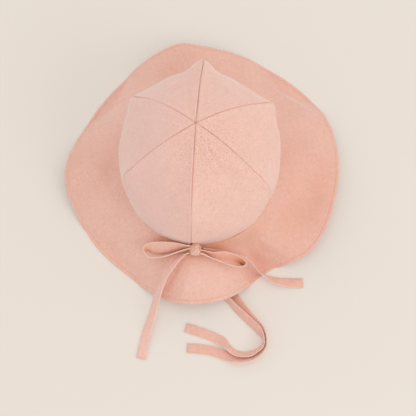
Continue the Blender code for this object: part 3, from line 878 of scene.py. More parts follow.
@dataclass(frozen=True)
class Crown:
    """The crown: six sewn panels with seam ridges, puckers and soft corners."""

    rows: int = 120
    columns: int = 14
    groove_depth: float = 0.50 * MM
    groove_width: float = 0.5 * MM
    shoulder: float = 0.28 * MM
    pucker: float = 0.16 * MM
    pucker_length: float = 5.2 * MM

    def build(self, cloth: WovenCloth) -> list[bpy.types.Object]:
        """Build the panels.

        Args:
            cloth: The maker of cloth materials.

        Returns:
            The panels' objects.
        """
        made = []
        for index, row in enumerate(CROWN_PANELS):
            made.append(self._panel(index, *row, cloth))
        return made

    def _surface(self, place: np.ndarray, half: np.ndarray, middle: np.ndarray, turn: np.ndarray,
                 corners: tuple, bulge: float) -> np.ndarray:
        """Points of the panel's outer face before its small relief.

        Args:
            place: The place up the crown's rows.
            half: Half the panel's angle in radians, at each row.
            middle: The panel's middle angle in radians, at each row.
            turn: The angles from the middle, in radians.
            corners: The rows of the table of corners for its right and left seams.
            bulge: How far the panel's middle bulges out, in millimetres.

        Returns:
            The points.
        """
        columns = open_curve(np.array(CROWN_SECTIONS, float), place)
        height, radius, hexagon, forward, aside = (columns[..., k] for k in range(5))
        radius = radius - 0.012 * bell(place - len(CROWN_SECTIONS) + 1, 0.5)
        straight = np.cos(half) / np.cos(turn)
        reach = HEAD_RADIUS * np.maximum(radius, 0.004) * (1.0 - hexagon * (1.0 - straight))
        level = bell(place - 4.7, 1.5) * np.clip(reach / HEAD_RADIUS, 0.0, 1.0)
        for way, (nose, width, lean, dip, rounding, length, _) in zip((1, -1), corners):
            inside = (half + way * turn) * reach
            stand = nose * bell(inside - way * lean * MM, width * MM) - dip * bell(inside - 14.0 * MM, 9.0 * MM)
            reach = reach + level * MM * (stand - rounding * np.exp(-inside / (length * MM)))
        reach = reach + bulge * MM * bell(place - 3.6, 2.6) * np.cos(turn / half * math.pi / 2)
        angle = middle + turn
        return AXIS_PLACE + np.stack([
            reach * np.cos(angle) + HEAD_RADIUS * aside, reach * np.sin(angle) + HEAD_RADIUS * forward,
            SEAT_HEIGHT + SEAM_GAP + CROWN_HEIGHT * height + 0.0 * reach], axis=-1)

    def _panel(self, index: int, name: str, right_seam: int, left_seam: int, right_ridge: float,
               left_ridge: float, bulge: float, cloth: WovenCloth) -> bpy.types.Object:
        """Build one panel.

        Args:
            index: The panel's place in the table.
            name: The node that it replaces.
            right_seam: The column of its right seam.
            left_seam: The column of its left seam.
            right_ridge: How far its right edge stands proud, in millimetres.
            left_ridge: The same at the left.
            bulge: How far its middle bulges out, in millimetres.
            cloth: The maker of cloth materials.

        Returns:
            The panel's object.
        """
        last = len(CROWN_SECTIONS) - 1
        place = np.linspace(0.0, last, self.rows)
        sections = open_curve(np.array(CROWN_SECTIONS, float), place)
        seams = np.radians(open_curve(np.array(CROWN_SEAMS, float), place))
        middle = (seams[:, right_seam] + seams[:, left_seam]) / 2
        half = (seams[:, left_seam] - seams[:, right_seam]) / 2
        corners = (CROWN_CORNERS[right_seam], CROWN_CORNERS[left_seam])
        seam_radius = HEAD_RADIUS * np.maximum(sections[:, 1], 0.004)
        spread = half - np.arcsin(np.minimum(0.9 * np.sin(half), SEAM_GAP / 2 / seam_radius))
        run = seam_radius * spread
        near = np.array([0.0, 0.22, 0.45, 0.7, 1.0, 1.4, 2.0, 2.8, 4.0, 5.6, 7.6]) * MM
        scale = np.minimum(1.0, run / (14 * MM))[:, None]
        inner_share = np.linspace(0.0, 1.0, self.columns + 1)[1:]
        inset = np.concatenate([near[None, :] * scale,
                                near[-1] * scale + (run[:, None] - near[-1] * scale) * inner_share], axis=1)
        turn_left = spread[:, None] - inset / seam_radius[:, None]
        turn = np.concatenate([-turn_left, turn_left[:, -2::-1]], axis=1)
        surface = self._surface(place[:, None], half[:, None], middle[:, None], turn, corners, bulge)
        along_step = np.linalg.norm(np.diff(surface, axis=0), axis=-1)
        along = np.vstack([np.zeros((1, turn.shape[1])), np.cumsum(along_step, axis=0)])
        across = turn * seam_radius[:, None]
        normal = unit(np.cross(np.gradient(surface, axis=1), np.gradient(surface, axis=0)))
        side = np.minimum(spread[:, None] - turn, spread[:, None] + turn) * seam_radius[:, None]
        small = np.clip(run / (5 * MM), 0.05, 1.0)[:, None]
        relief = -self.groove_depth * bell(side, self.groove_width)
        relief = relief + self.shoulder * bell(side - 1.9 * MM, 1.3 * MM)
        for ridge, part in ((right_ridge, turn < 0), (left_ridge, turn > 0)):
            relief = relief + part * ridge * MM * bell(side - 0.8 * MM, 1.0 * MM)
        phase = 1.7 * index
        wave = np.sin(2 * math.pi * along / self.pucker_length + phase + np.sin(along / (9 * MM)))
        relief = relief + self.pucker * wave * np.exp(-side / (4 * MM)) * (1 - bell(side, 0.8 * MM))
        relief = relief + 0.30 * MM * np.sin(along / (8.5 * MM) + across / (11 * MM) + phase) * smooth_step(
            np.clip(side / (12 * MM), 0.0, 1.0))
        relief = relief + 0.22 * MM * np.sin(across / (5.2 * MM) - along / (15 * MM) + 2 * phase) * smooth_step(
            np.clip(side / (10 * MM), 0.0, 1.0))
        for panel, from_row, from_side, to_row, to_side, half_width, height in CROWN_PUCKERS:
            if panel != name:
                continue
            ends = []
            for share, sideways in ((from_row, from_side), (to_row, to_side)):
                at = int(round(share * (self.rows - 1)))
                ends.append((sideways * run[at], along[at, turn.shape[1] // 2]))
            relief = relief + crease(across, along, *ends, half_width * MM, height * MM)
        relief = relief * small
        surface[0, :, 2] -= 1.0 * MM
        outer = surface + normal * relief[..., None]
        inner = surface + normal * (0.7 * relief - CROWN_WALL * np.maximum(small, 0.25))[..., None]
        loops = np.concatenate([outer, inner[:, ::-1]], axis=1)
        grain = np.stack([across, along], axis=-1)
        grain = np.concatenate([grain, grain[:, ::-1]], axis=1)
        # Painted shade along each seam's line, at the apex where the seams meet, and at the foot of the back right.
        seam_shade = np.where(turn < 0, corners[0][-1], corners[1][-1])
        fading = np.where(seam_shade > 0.5, 1.0, np.clip((place[:, None] - 3.8) / 1.6, 0.0, 1.0))
        kept = np.maximum(small, np.where(seam_shade > 0.35, 0.9, 0.5))
        deep = seam_shade * fading * bell(side, 0.42 * MM) * kept
        deep = deep + 0.7 * bell(np.linalg.norm(surface - surface[-1].mean(axis=0), axis=-1), 1.1 * MM)
        toward = bell(turned(np.degrees(middle[:, None] + turn), 312.0), 26.0)
        deep = deep + 0.16 * toward * bell(along, 7.0 * MM)
        to_back = bell(surface[..., 1] + 0.024, 0.030) * bell(surface[..., 0] - 0.006, 0.042)
        fleck = 0.10 + 0.9 * to_back * np.clip((surface[..., 2] - 0.10) / 0.03, 0.0, 1.0)
        # Painted light: a highlight just beside a ridge that stands proud, and cool light over the crown's left side.
        proud = np.where(turn < 0, right_ridge, left_ridge)
        pale = 0.9 * np.clip(proud, 0.0, 1.0) * bell(side - 1.15 * MM, 0.5 * MM) * small
        pale = pale + 0.34 * np.clip(-(surface[..., 0] + 0.010) / 0.03, 0.0, 1.0)
        masks = {Mask.DEEP: np.concatenate([deep, deep[:, ::-1]], axis=1),
                 Mask.FLECK: np.concatenate([fleck, fleck[:, ::-1]], axis=1),
                 Mask.PALE: np.concatenate([pale, pale[:, ::-1]], axis=1)}
        made = smoothed_piece(name.replace("crown_panel", "crown_cloth"), CROWN_CLOTH, cloth,
                              skin(name, loops, grain, masks=masks))
        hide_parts(name)
        return made


@dataclass(frozen=True)
class Brim:
    """The brim: a wide wavy ring of cloth with a topstitched edge."""

    columns: int = 560
    rows: int = 46
    stitch_inset: float = 3.0 * MM
    stitch_depth: float = 0.24 * MM
    stitch_length: float = 2.1 * MM
    stitch_gap: float = 0.6 * MM
    floor_softness: float = 3.0 * MM
    root_width: float = 4.2 * MM

    def _underside(self, angle: np.ndarray, share: np.ndarray) -> tuple[np.ndarray, np.ndarray]:
        """The underside, eased where it comes to lie on the surface."""
        radius, height = brim_profile(angle, share)
        return radius, 0.5 * (height + np.sqrt(height ** 2 + self.floor_softness ** 2)) - 0.5 * self.floor_softness * bell(
            height, 6 * MM)

    def _faces(self, angle: np.ndarray, share: np.ndarray) -> tuple[np.ndarray, np.ndarray, np.ndarray]:
        """The brim's upper face, underside and distance from the edge.

        Args:
            angle: The angles in degrees.
            share: The shares of the way from the seam to the edge.

        Returns:
            The upper points, the lower points and the distances in metres.
        """
        low = placed(*self._order(angle, np.clip(share - 0.01, 0.0, 1.0)))
        high = placed(*self._order(angle, np.clip(share + 0.01, 0.0, 1.0)))
        beside = placed(*self._order(angle + 0.25, share))
        before = placed(*self._order(angle - 0.25, share))
        point = placed(*self._order(angle, share))
        normal = unit(np.cross(high - low, beside - before))
        reach = closed_curve(BRIM_WAVES, 1, angle) * BRIM_WIDTH
        inset = reach * (1.0 - share)
        relief = -self.stitch_depth * bell(inset - self.stitch_inset, 0.5 * MM)
        relief = relief + 0.14 * MM * bell(inset - 1.6 * MM, 0.9 * MM) + 0.10 * MM * bell(
            inset - 4.5 * MM, 1.0 * MM)
        flat_radius = HEAD_RADIUS + reach * share
        across, along = flat_radius * np.cos(np.radians(angle)), flat_radius * np.sin(np.radians(angle))
        folds = 0.0 * across
        for from_angle, from_place, to_angle, to_place, half_width, height in BRIM_CREASES:
            ends = []
            for at, place in ((from_angle, from_place), (to_angle, to_place)):
                span = HEAD_RADIUS + float(closed_curve(BRIM_WAVES, 1, np.array([float(at)]))[0]) * BRIM_WIDTH * place
                ends.append((span * math.cos(math.radians(at)), span * math.sin(math.radians(at))))
            folds = folds + crease(across, along, *ends, half_width * MM, height * MM)
        ripple = 0.28 * MM * np.sin(np.radians(angle) * 23 + 3.0 * share) * bell(share - 0.04, 0.12)
        ripple = ripple + 0.35 * MM * np.sin(across / (13 * MM) + 0.6) * np.sin(along / (17 * MM) + 1.1) * np.clip(
            share * 3, 0.0, 1.0)
        ripple = ripple + 0.10 * MM * np.sin(np.radians(angle) * 87) * bell(inset - self.stitch_inset, 2.0 * MM)
        lift = folds + ripple
        up = normal * (lift + relief)[..., None]
        down = normal * (lift - 0.6 * relief)[..., None]
        upper = point + up + normal * BRIM_WALL
        upper[..., 2] += closed_curve(BRIM_ROOTS, 1, angle) * MM * np.exp(-reach * share / (self.root_width))
        lower = point + down
        lower[..., 2] = np.maximum(lower[..., 2], 0.0)
        return upper, lower, np.stack([across, along], axis=-1)

    def _order(self, angle: np.ndarray, share: np.ndarray) -> tuple[np.ndarray, np.ndarray, np.ndarray]:
        """Radius, angle and height of the underside, in the order that placed() takes."""
        radius, height = self._underside(angle, share)
        return radius, angle + 0.0 * radius, height

    def build(self, cloth: WovenCloth) -> bpy.types.Object:
        """Build the brim.

        Args:
            cloth: The maker of cloth materials.

        Returns:
            The brim's object.
        """
        angle = (np.arange(self.columns) * 360.0 / self.columns)[:, None]
        rim = BRIM_WIDTH
        fine = np.array([7.0, 5.6, 4.6, 3.9, 3.4, 3.0, 2.6, 2.2, 1.7, 1.2, 0.8, 0.4, 0.15, 0.0]) * MM / rim
        share = np.concatenate([[0.0, 0.004, 0.010], np.linspace(0.018, 1.0 - fine[0], self.rows)[:-1], 1.0 - fine])[None, :]
        upper, lower, grain = self._faces(angle, share)
        middle = (upper[:, -1] + lower[:, -1]) / 2
        out = unit(middle - (upper[:, -3] + lower[:, -3]) / 2) * (BRIM_WALL * 0.35)
        upper[:, -1] = middle + (upper[:, -1] - middle) * 0.62 + out * 0.6
        lower[:, -1] = middle + (lower[:, -1] - middle) * 0.62 + out * 0.6
        strip = placed(np.array([[HEAD_RADIUS - CROWN_WALL, HEAD_RADIUS - 0.5 * MM]]) + 0.0 * angle, angle,
                       np.full((self.columns, 2), SEAT_HEIGHT))
        upper[:, 0, :2] = strip[:, 1, :2]
        under = strip - np.array([0.0, 0.0, BRIM_WALL])
        loops = np.concatenate([strip, upper, lower[:, ::-1], under[:, ::-1]], axis=1)
        inner = (strip - AXIS_PLACE)[..., :2]
        grain = np.concatenate([inner, grain, grain[:, ::-1], inner[:, ::-1]], axis=1)
        # Painted shading on the brim: painted shade where the table's strength is above 0 and painted light where it is
        # below 0, painted shade along the stitched groove, stronger at the right and the back, and painted shade on the
        # strip under the crown.
        inset = reach_at(angle) * (1.0 - share)
        painted_shading = 0.0 * inset
        for at, place, turn_spread, place_spread, strength in BRIM_PAINTED_SHADING:
            painted_shading = painted_shading + strength * bell(turned(angle, at), turn_spread) * bell(share - place, place_spread)
        line = 0.10 + 0.18 * bell(turned(angle, 352.0), 34.0) + 0.16 * bell(turned(angle, 270.0), 22.0)
        deep = np.maximum(painted_shading, 0.0) + line * bell(inset - self.stitch_inset, 0.45 * MM)
        pale = np.maximum(-painted_shading, 0.0)
        edge = np.full((self.columns, 2), 0.3)
        masks = {Mask.DEEP: np.concatenate([edge, deep, deep[:, ::-1], edge], axis=1),
                 Mask.PALE: np.concatenate([0.0 * edge, pale, pale[:, ::-1], 0.0 * edge], axis=1),
                 Mask.FLECK: np.full(loops.shape[:2], 0.10)}
        made = smoothed_piece("brim_cloth", BRIM_CLOTH, cloth,
                              skin("brim_cloth", loops, grain, ring=True, masks=masks))
        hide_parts("brim")
        self._topstitch(cloth)
        return made

    def _topstitch(self, cloth: WovenCloth) -> None:
        """Sew the row of stitches along the brim's edge, on both faces."""
        fine = np.linspace(0.0, 360.0, 2400)
        reach = closed_curve(BRIM_WAVES, 1, fine) * BRIM_WIDTH
        share = 1.0 - self.stitch_inset / reach
        upper, lower, _ = self._faces(fine, share)
        Stitching("brim_topstitch_upper", self.stitch_length, self.stitch_gap).sew(upper, upper - lower, cloth)
        Stitching("brim_topstitch_lower", self.stitch_length, self.stitch_gap).sew(
            lower + np.array([0.0, 0.0, 0.15 * MM]), lower - upper, cloth)


@dataclass(frozen=True)
class Stitching:
    """A row of thread stitches along a line on the cloth."""

    name: str
    length: float
    gap: float
    thickness: float = 0.36 * MM
    sink: float = 0.05 * MM

    def _stitch(self) -> tuple[np.ndarray, list[list[int]]]:
        """Model one stitch along X and take its points and faces."""
        bpy.ops.object.select_all(action="DESELECT")
        bpy.ops.mesh.primitive_uv_sphere_add(segments=8, ring_count=6, radius=0.5, rotation=(0.0, math.pi / 2, 0.0))
        made = bpy.context.object
        bpy.ops.object.transform_apply(location=False, rotation=True, scale=False)
        bpy.ops.object.mode_set(mode="EDIT")
        bpy.ops.mesh.select_all(action="SELECT")
        bpy.ops.transform.resize(value=(self.length, self.thickness, self.thickness * 0.8))
        bpy.ops.object.mode_set(mode="OBJECT")
        points = np.array([tuple(v.co) for v in made.data.vertices])
        faces = [list(p.vertices) for p in made.data.polygons]
        mesh = made.data
        bpy.data.objects.remove(made, do_unlink=True)
        bpy.data.meshes.remove(mesh)
        return points, faces

    def sew(self, line: np.ndarray, outward: np.ndarray, cloth: WovenCloth) -> bpy.types.Object:
        """Lay copies of one stitch along a line.

        Args:
            line: Points close together along the row of stitches.
            outward: The direction out of the cloth at each point.
            cloth: The maker of cloth materials.

        Returns:
            The stitches, as one object.
        """
        points, faces = self._stitch()
        step = np.linalg.norm(np.diff(line, axis=0), axis=-1)
        run = np.concatenate([[0.0], np.cumsum(step)])
        count = max(1, int(run[-1] / (self.length + self.gap)))
        at = (np.arange(count) + 0.5) * run[-1] / count
        half = self.length / 2
        here, ahead, behind, up = (np.stack([np.interp(np.clip(at + shift, 0.0, run[-1]), run, values[:, k])
                                             for k in range(3)], axis=-1)
                                   for shift, values in ((0.0, line), (half, line), (-half, line), (0.0, outward)))
        along = unit(ahead - behind)
        up = unit(up - along * np.sum(up * along, axis=-1, keepdims=True))
        aside = np.cross(up, along)
        placed_points = (here[:, None] + points[None, :, 0:1] * along[:, None] + points[None, :, 1:2] * aside[:, None]
                         + (points[None, :, 2:3] - self.sink) * up[:, None])
        mesh = bpy.data.meshes.new(self.name)
        size = len(points)
        mesh.from_pydata(placed_points.reshape(-1, 3).tolist(), [],
                         [[corner + size * k for corner in face] for k in range(count) for face in faces])
        layer = mesh.uv_layers.new(name=GrainMap.CLOTH.value)
        place = np.tile(points[:, :2], (count, 1)) + np.repeat(at, size)[:, None]
        corners = np.array([corner for polygon in mesh.polygons for corner in polygon.vertices])
        layer.data.foreach_set("uv", place[corners].ravel())
        return smoothed_piece(self.name, THREAD, cloth, mesh)


@dataclass(frozen=True)
class Ribbon:
    """A flat sewn band of cloth along a route, with a turned edge on both sides."""

    name: str
    finish: ClothFinish
    step: float = 0.9 * MM
    half_columns: int = 15
    hem: float = 1.1 * MM
    # Painted light along both edges of the band, and painted shading over the whole band: painted shade above 0,
    # painted light below 0.
    painted_edge_light: float = 0.6
    painted_shading: float = 0.0

    def smooth(self, route: np.ndarray) -> np.ndarray:
        """Rows a short step apart on one smooth curve through the rows of a route.

        Args:
            route: A row of x, y, z, roll and width for each point.

        Returns:
            The fine rows.
        """
        runs = np.linalg.norm(np.diff(route[:, :3], axis=0), axis=-1)
        places = np.concatenate([index + np.arange(max(1, round(run / self.step))) / max(1, round(run / self.step))
                                 for index, run in enumerate(runs)] + [[len(route) - 1.0]])
        return open_curve(route, places)

    def build(self, route: np.ndarray, cloth: WovenCloth, painted_hollow_shade: tuple[float, float] = (0.0, 0.0)) -> tuple[
            bpy.types.Object, np.ndarray]:
        """Build the band.

        Args:
            route: A row of x, y, z, roll and width for each point.
            cloth: The maker of cloth materials.
            painted_hollow_shade: How much painted shade the inside of a loop gets in its first and its second half.

        Returns:
            The band's object and the points along its middle.
        """
        rows = self.smooth(route)
        points = rows[:, :3].copy()
        ahead = unit(np.gradient(points, axis=0))
        level = unit(np.cross(ahead, np.array([[0.0, 0.0, 1.0]])))
        rising = np.cross(level, ahead)
        roll = np.radians(rows[:, 3])[:, None]
        half = (TIE_WIDTH * rows[:, 4] / 2)[:, None]
        across = level * np.cos(roll) + rising * np.sin(roll)
        out = np.cross(across, ahead)
        lowest = np.abs(across[:, 2] * half[:, 0]) + np.abs(out[:, 2]) * TIE_WALL / 2
        points[:, 2] = np.maximum(points[:, 2], lowest)
        along = np.concatenate([[0.0], np.cumsum(np.linalg.norm(np.diff(points, axis=0), axis=-1))])
        share = np.sin(np.linspace(-math.pi / 2, math.pi / 2, self.half_columns))
        share = np.sign(share) * np.abs(share) ** 0.92
        edge = half * (1.0 - np.abs(share)[None, :])
        thick = TIE_WALL / 2 * np.sqrt(np.clip(1.0 - np.abs(share) ** 10, 0.0, 1.0))[None, :]
        thick = thick * (1.0 - 0.30 * bell(edge - self.hem, 0.35 * MM)) * (0.82 + 0.18 * bell(edge, 1.6 * MM))
        rest = np.clip(half[:, 0] * 0 + np.abs(across[:, 2]) * 3.0, 0.0, 1.0)[:, None]
        cup = 0.35 * MM * (1.0 - share ** 2)[None, :] * rest
        cup = cup + 0.12 * MM * np.sin(along / (7 * MM))[:, None] * rest * share[None, :]
        top = points[:, None] + across[:, None] * (half * share)[..., None] + out[:, None] * (cup + thick)[..., None]
        bottom = points[:, None] + across[:, None] * (half * share)[..., None] + out[:, None] * (cup - thick)[..., None]
        loops = np.concatenate([top, bottom[:, ::-1]], axis=1)
        cross = half * share
        grain = np.stack([cross, along[:, None] + 0.0 * cross], axis=-1)
        grain = np.concatenate([grain, grain[:, ::-1]], axis=1)
        # Painted shade on the inside of a loop, strongest at its tip and near its roots.
        flat = points - points.mean(axis=0)
        winding = np.sign(np.sum(np.cross(flat[:-1, :2], flat[1:, :2])))
        inward = np.sum(unit(np.cross([[0.0, 0.0, 1.0]], ahead)) * out, axis=-1) * winding
        tip = bell(along - along[-1] / 2, 13 * MM)
        root = bell(np.minimum(along, along[-1] - along), 9 * MM)
        painted_loop_shade = painted_hollow_shade[0] + (painted_hollow_shade[1] - painted_hollow_shade[0]) * smooth_step(np.clip(along / along[-1] * 5 - 2, 0.0, 1.0))
        faces = [painted_loop_shade * np.clip(way * inward * (0.30 + 0.70 * tip) + 0.5 * root, 0.0, 1.0) for way in (1, -1)]
        deep = [np.repeat(face[:, None], share.size, axis=1) for face in faces]
        # Painted shade also along each hem, and painted light along both edges.
        both = np.concatenate([edge, edge[:, ::-1]], axis=1)
        masks = {Mask.DEEP: np.concatenate([deep[0], deep[1][:, ::-1]], axis=1) + 0.10 * bell(
            both - self.hem, 0.3 * MM) + max(self.painted_shading, 0.0),
            Mask.FLECK: np.full(loops.shape[:2], 0.08),
            Mask.PALE: self.painted_edge_light * bell(both, 0.5 * MM) + max(-self.painted_shading, 0.0)}
        made = smoothed_piece(self.name, self.finish, cloth, skin(self.name, loops, grain, masks=masks))
        return made, points


@dataclass(frozen=True)
class Bow:
    """The bow at the back: a wrapped knot with two loops."""

    extra: float = 2.6 * MM

    def middle(self) -> np.ndarray:
        """The middle of the knot."""
        radius = HEAD_RADIUS + 2 * SEAM_GAP + KNOT_DEPTH / 2
        height = SEAT_HEIGHT + SEAM_GAP + KNOT_HEIGHT / 2
        return placed(np.array(radius), np.array(KNOT_ANGLE), np.array(height))

    def build(self, cloth: WovenCloth) -> None:
        """Build the knot and the loops."""
        self._core(cloth)
        self._band("bow_knot_wrap", KNOT_WRAP, 0.0, cloth)
        self._band("bow_knot_fold", KNOT_FOLD, 0.30, cloth)
        self._loop("bow_loop_left", LOOP_LEFT, LOOP_LEFT_REACH, Side.LEFT, (0.2, 1.0), cloth)
        self._loop("bow_loop_right", LOOP_RIGHT, LOOP_RIGHT_REACH, Side.RIGHT, (1.0, 0.9), cloth)

    def _core(self, cloth: WovenCloth) -> None:
        """Model the gathered cloth inside the knot from a rounded block."""
        bpy.ops.object.select_all(action="DESELECT")
        bpy.ops.mesh.primitive_cube_add(size=1.0)
        made = bpy.context.object
        made.name = "bow_knot_core"
        bpy.ops.object.mode_set(mode="EDIT")
        bpy.ops.mesh.select_all(action="SELECT")
        bpy.ops.transform.resize(value=(KNOT_WIDTH * 0.86, KNOT_DEPTH * 0.74, KNOT_HEIGHT * 0.90))
        bpy.ops.mesh.subdivide(number_cuts=3)
        bpy.ops.object.mode_set(mode="OBJECT")
        smooth = made.modifiers.new("round", "SUBSURF")
        smooth.levels = smooth.render_levels = 2
        bpy.ops.object.modifier_apply(modifier=smooth.name)
        mesh = made.data
        turn = Matrix.Rotation(math.radians(KNOT_ANGLE + 90.0), 3, "Z")
        middle = Vector(self.middle())
        for vertex in mesh.vertices:
            x, y, z = vertex.co
            pinch = 1.0 - 0.22 * math.cos(min(1.0, abs(x) / (KNOT_WIDTH / 2)) * math.pi / 2 + math.pi / 2) ** 2
            ridge = 1.0 + 0.06 * math.sin(y / (0.75 * MM) + z / (1.3 * MM))
            vertex.co = middle + turn @ Vector((x, y * pinch * ridge, z * pinch * ridge))
        layer = mesh.uv_layers.active
        layer.name = GrainMap.CLOTH.value
        for item in layer.data:
            item.uv = item.uv * 0.03
        # The whole core gets painted shade.
        mesh.attributes.new(Mask.DEEP.value, "FLOAT", "POINT").data.foreach_set("value", [0.55] * len(mesh.vertices))
        mesh.materials.append(cloth.material(TIE_CLOTH))
        mesh.shade_smooth()
        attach(made, BODY)
        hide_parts("bow_knot")

    def _band(self, name: str, table: tuple, depth: float, cloth: WovenCloth) -> None:
        """Wrap a fold of the tie over the knot.

        Args:
            name: The fold's name.
            table: The places that it passes.
            depth: How much painted shade its middle gets.
            cloth: The maker of cloth materials.
        """
        turn = math.radians(KNOT_ANGLE + 90.0)
        middle = self.middle()
        rows = []
        for across, away, up, width in table:
            x, y, z = across * KNOT_WIDTH / 2, -away * KNOT_DEPTH / 2, up * KNOT_HEIGHT / 2
            rows.append((*middle + np.array([x * math.cos(turn) - y * math.sin(turn),
                                             x * math.sin(turn) + y * math.cos(turn), z]), 0.0, width))
        route = np.array(rows)
        fine = Ribbon(name, TIE_CLOTH, step=0.45 * MM)
        smooth = fine.smooth(route)
        ahead = unit(np.gradient(smooth[:, :3], axis=0))
        outward = unit(smooth[:, :3] - middle)
        across = unit(np.cross(ahead, outward))
        out = np.cross(across, ahead)
        half = (TIE_WIDTH * smooth[:, 4] / 2)[:, None]
        share = np.linspace(-1.0, 1.0, 17)
        thick = TIE_WALL * 0.5 * np.sqrt(np.clip(1.0 - np.abs(share) ** 8, 0.0, 1.0))[None, :]
        droop = -0.16 * half * share[None, :] ** 2 + 0.12 * MM * np.sin(share * 9.0)[None, :]
        flat = smooth[:, None, :3] + across[:, None] * (half * share)[..., None]
        top = flat + out[:, None] * (droop + thick)[..., None]
        bottom = flat + out[:, None] * (droop - thick)[..., None]
        loops = np.concatenate([top, bottom[:, ::-1]], axis=1)
        along = np.concatenate([[0.0], np.cumsum(np.linalg.norm(np.diff(smooth[:, :3], axis=0), axis=-1))])
        grain = np.stack([half * share, along[:, None] + 0.0 * half * share], axis=-1)
        grain = np.concatenate([grain, grain[:, ::-1]], axis=1)
        # Painted light along both rims, and painted shade over the middle, strongest near the band's start.
        rim = half * (1.0 - np.abs(share))
        pale = 0.55 * bell(rim, 0.45 * MM)
        deep = depth + 0.0 * rim + 0.5 * bell(along - along[-1] * 0.05, along[-1] * 0.16)[:, None]
        masks = {Mask.DEEP: np.concatenate([deep, deep[:, ::-1]], axis=1),
                 Mask.PALE: np.concatenate([pale, pale[:, ::-1]], axis=1)}
        made = smoothed_piece(name, TIE_CLOTH, cloth, skin(name, loops, grain, masks=masks))

    def _loop(self, name: str, table: tuple, reach: float, side: Side, painted_hollow_shade: tuple[float, float],
              cloth: WovenCloth) -> None:
        """Build one loop of the bow.

        Args:
            name: The node that it replaces.
            table: The loop's turns.
            reach: How far it reaches from the middle of the knot.
            side: Which side it lies on.
            painted_hollow_shade: How much painted shade its inside gets in its first and its second half.
            cloth: The maker of cloth materials.
        """
        middle = self.middle()
        route = np.array([(*middle + np.array([side.value * out * reach, spread * reach, rise * reach]), roll, width)
                          for out, spread, rise, roll, width in table])
        for end, near in ((0, 1), (-1, -2)):
            root = route[end].copy()
            root[0] -= side.value * self.extra
            root[4] *= 0.8
            route = np.vstack([root[None], route]) if end == 0 else np.vstack([route, root[None]])
        made, points = Ribbon(name + "_cloth", TIE_CLOTH, step=0.7 * MM).build(route, cloth, painted_hollow_shade)
        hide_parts(name)


@dataclass(frozen=True)
class LooseTies:
    """The two tails of the bow and the two chin ties, lying on the surface."""

    box_length: float = 11.0 * MM
    box_inset: float = 1.2 * MM

    def build(self, cloth: WovenCloth) -> None:
        """Build the ties."""
        # The last value in each row is painted shading over the whole tie: painted shade above 0, painted light below
        # 0.
        for name, table, painted_shading in (("bow_tail_left", TAIL_LEFT, -0.20), ("bow_tail_right", TAIL_RIGHT, 0.07),
                                  ("chin_tie_left", CHIN_TIE_LEFT, 0.03), ("chin_tie_right", CHIN_TIE_RIGHT, 0.09)):
            route = np.array(table, float)
            route[:, :2] = AXIS_PLACE[:2] + HEAD_RADIUS * route[:, :2]
            route[:, 2] *= SEAT_HEIGHT
            made, points = Ribbon(name + "_cloth", TIE_CLOTH, painted_edge_light=0.35, painted_shading=painted_shading).build(route, cloth)
            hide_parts(name)
            self._end_box(name, points, cloth)

    def _end_box(self, name: str, points: np.ndarray, cloth: WovenCloth) -> None:
        """Sew the small stitched box at a tie's free end.

        Args:
            name: The tie's name.
            points: The points along its middle.
            cloth: The maker of cloth materials.
        """
        end = points[-1]
        ahead = unit(points[-1] - points[-8])
        aside = np.cross(np.array([0.0, 0.0, 1.0]), ahead)
        half = TIE_WIDTH / 2 - self.box_inset
        corners = [(-self.box_length, -half), (-self.box_inset, -half), (-self.box_inset, half), (-self.box_length, half)]
        line = []
        for (back, side), (next_back, next_side) in zip(corners, corners[1:] + corners[:1]):
            for share in np.linspace(0.0, 1.0, 24, endpoint=False):
                line.append(end + ahead * (back + (next_back - back) * share) + aside * (side + (next_side - side) * share))
        line = np.array(line) + np.array([0.0, 0.0, TIE_WALL * 0.40])
        up = np.tile(np.array([0.0, 0.0, 1.0]), (len(line), 1))
        Stitching(name + "_end_stitches", 1.5 * MM, 0.45 * MM, thickness=0.30 * MM, sink=0.02 * MM).sew(line, up, cloth)


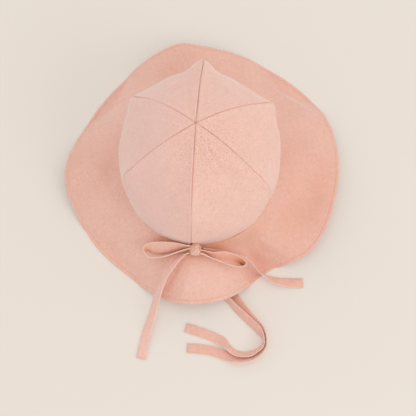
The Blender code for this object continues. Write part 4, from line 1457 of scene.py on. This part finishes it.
@dataclass(frozen=True)
class Studio:
    """The plain cream floor, the soft light and the camera at the photograph's angle."""

    elevation: float = 72.0
    distance: float = 1.25
    target: tuple[float, float, float] = (0.00592, -0.03474, 0.0)
    focal_pixels: float = 1230.0
    picture_pixels: float = 416.0
    sensor: float = 36.0
    floor_glow: float = 0.27

    def build(self) -> None:
        """Set the stage."""
        self._floor()
        self._light()
        self._camera()

    def _floor(self) -> None:
        """Lay the floor, a plain plane with a soft cream finish."""
        bpy.ops.object.select_all(action="DESELECT")
        bpy.ops.mesh.primitive_plane_add(size=6.0, location=(0.0, 0.0, 0.0))
        floor = bpy.context.object
        floor.name = "floor"
        paper = bpy.data.materials.new("paper_floor")
        paper.use_nodes = True
        tree = paper.node_tree
        shader = tree.nodes["Principled BSDF"]
        place = tree.nodes.new("ShaderNodeTexCoord")
        noise = tree.nodes.new("ShaderNodeTexNoise")
        noise.inputs["Scale"].default_value = 2.2
        ramp = tree.nodes.new("ShaderNodeValToRGB")
        ramp.color_ramp.elements[0].color = (0.58, 0.532, 0.484, 1.0)
        ramp.color_ramp.elements[1].color = (0.60, 0.554, 0.507, 1.0)
        tree.links.new(place.outputs["Object"], noise.inputs["Vector"])
        tree.links.new(noise.outputs[0], ramp.inputs[0])
        tree.links.new(ramp.outputs[0], shader.inputs["Base Color"])
        shader.inputs["Emission Color"].default_value = (0.82, 0.755, 0.69, 1.0)
        shader.inputs["Emission Strength"].default_value = self.floor_glow
        shader.inputs["Roughness"].default_value = 0.95
        shader.inputs["Specular IOR Level"].default_value = 0.1
        floor.data.materials.append(paper)

    def _light(self) -> None:
        """Light the stage softly from all round, a little more from the right."""
        world = bpy.data.worlds.new("soft_room")
        bpy.context.scene.world = world
        world.use_nodes = True
        back = world.node_tree.nodes["Background"]
        back.inputs["Color"].default_value = (1.0, 0.99, 0.975, 1.0)
        back.inputs["Strength"].default_value = 0.80
        for name, place, size, power, colour in (
                ("window", (1.3, -1.1, 1.2), 1.2, 8.5, (1.0, 0.98, 0.96)),
                ("doorway", (-1.3, 1.1, 1.2), 1.3, 2.2, (0.97, 0.97, 1.0)),
                ("ceiling", (0.1, 0.1, 2.2), 2.0, 5.0, (1.0, 0.985, 0.97))):
            lamp = bpy.data.lights.new(name, "AREA")
            lamp.shape = "DISK"
            lamp.size = size
            lamp.energy = power
            lamp.color = colour
            made = bpy.data.objects.new(name, lamp)
            made.location = place
            made.rotation_euler = (Vector((0.0, 0.0, 0.0)) - Vector(place)).to_track_quat("-Z", "Y").to_euler()
            bpy.context.collection.objects.link(made)
        settings = bpy.context.scene.view_settings
        settings.view_transform = "Standard"
        settings.look = "None"

    def _camera(self) -> None:
        """Place the camera."""
        lens = bpy.data.cameras.new("camera")
        lens.sensor_width = self.sensor
        lens.lens = self.focal_pixels / self.picture_pixels * self.sensor
        made = bpy.data.objects.new("camera", lens)
        rise = math.radians(self.elevation)
        offset = Vector((0.0, -math.cos(rise), math.sin(rise))) * self.distance
        made.location = Vector(self.target) + offset
        made.rotation_euler = (math.radians(90.0) - rise, 0.0, 0.0)
        bpy.context.collection.objects.link(made)
        bpy.context.scene.camera = made


def main() -> None:
    """Build the stage and the hat's pieces in order."""
    logging.basicConfig(level=logging.INFO, format="%(name)s %(message)s")
    Studio().build()
    cloth = WovenCloth()
    LooseTies().build(cloth)
    Brim().build(cloth)
    Crown().build(cloth)
    Bow().build(cloth)


if __name__ == "__main__":
    main()
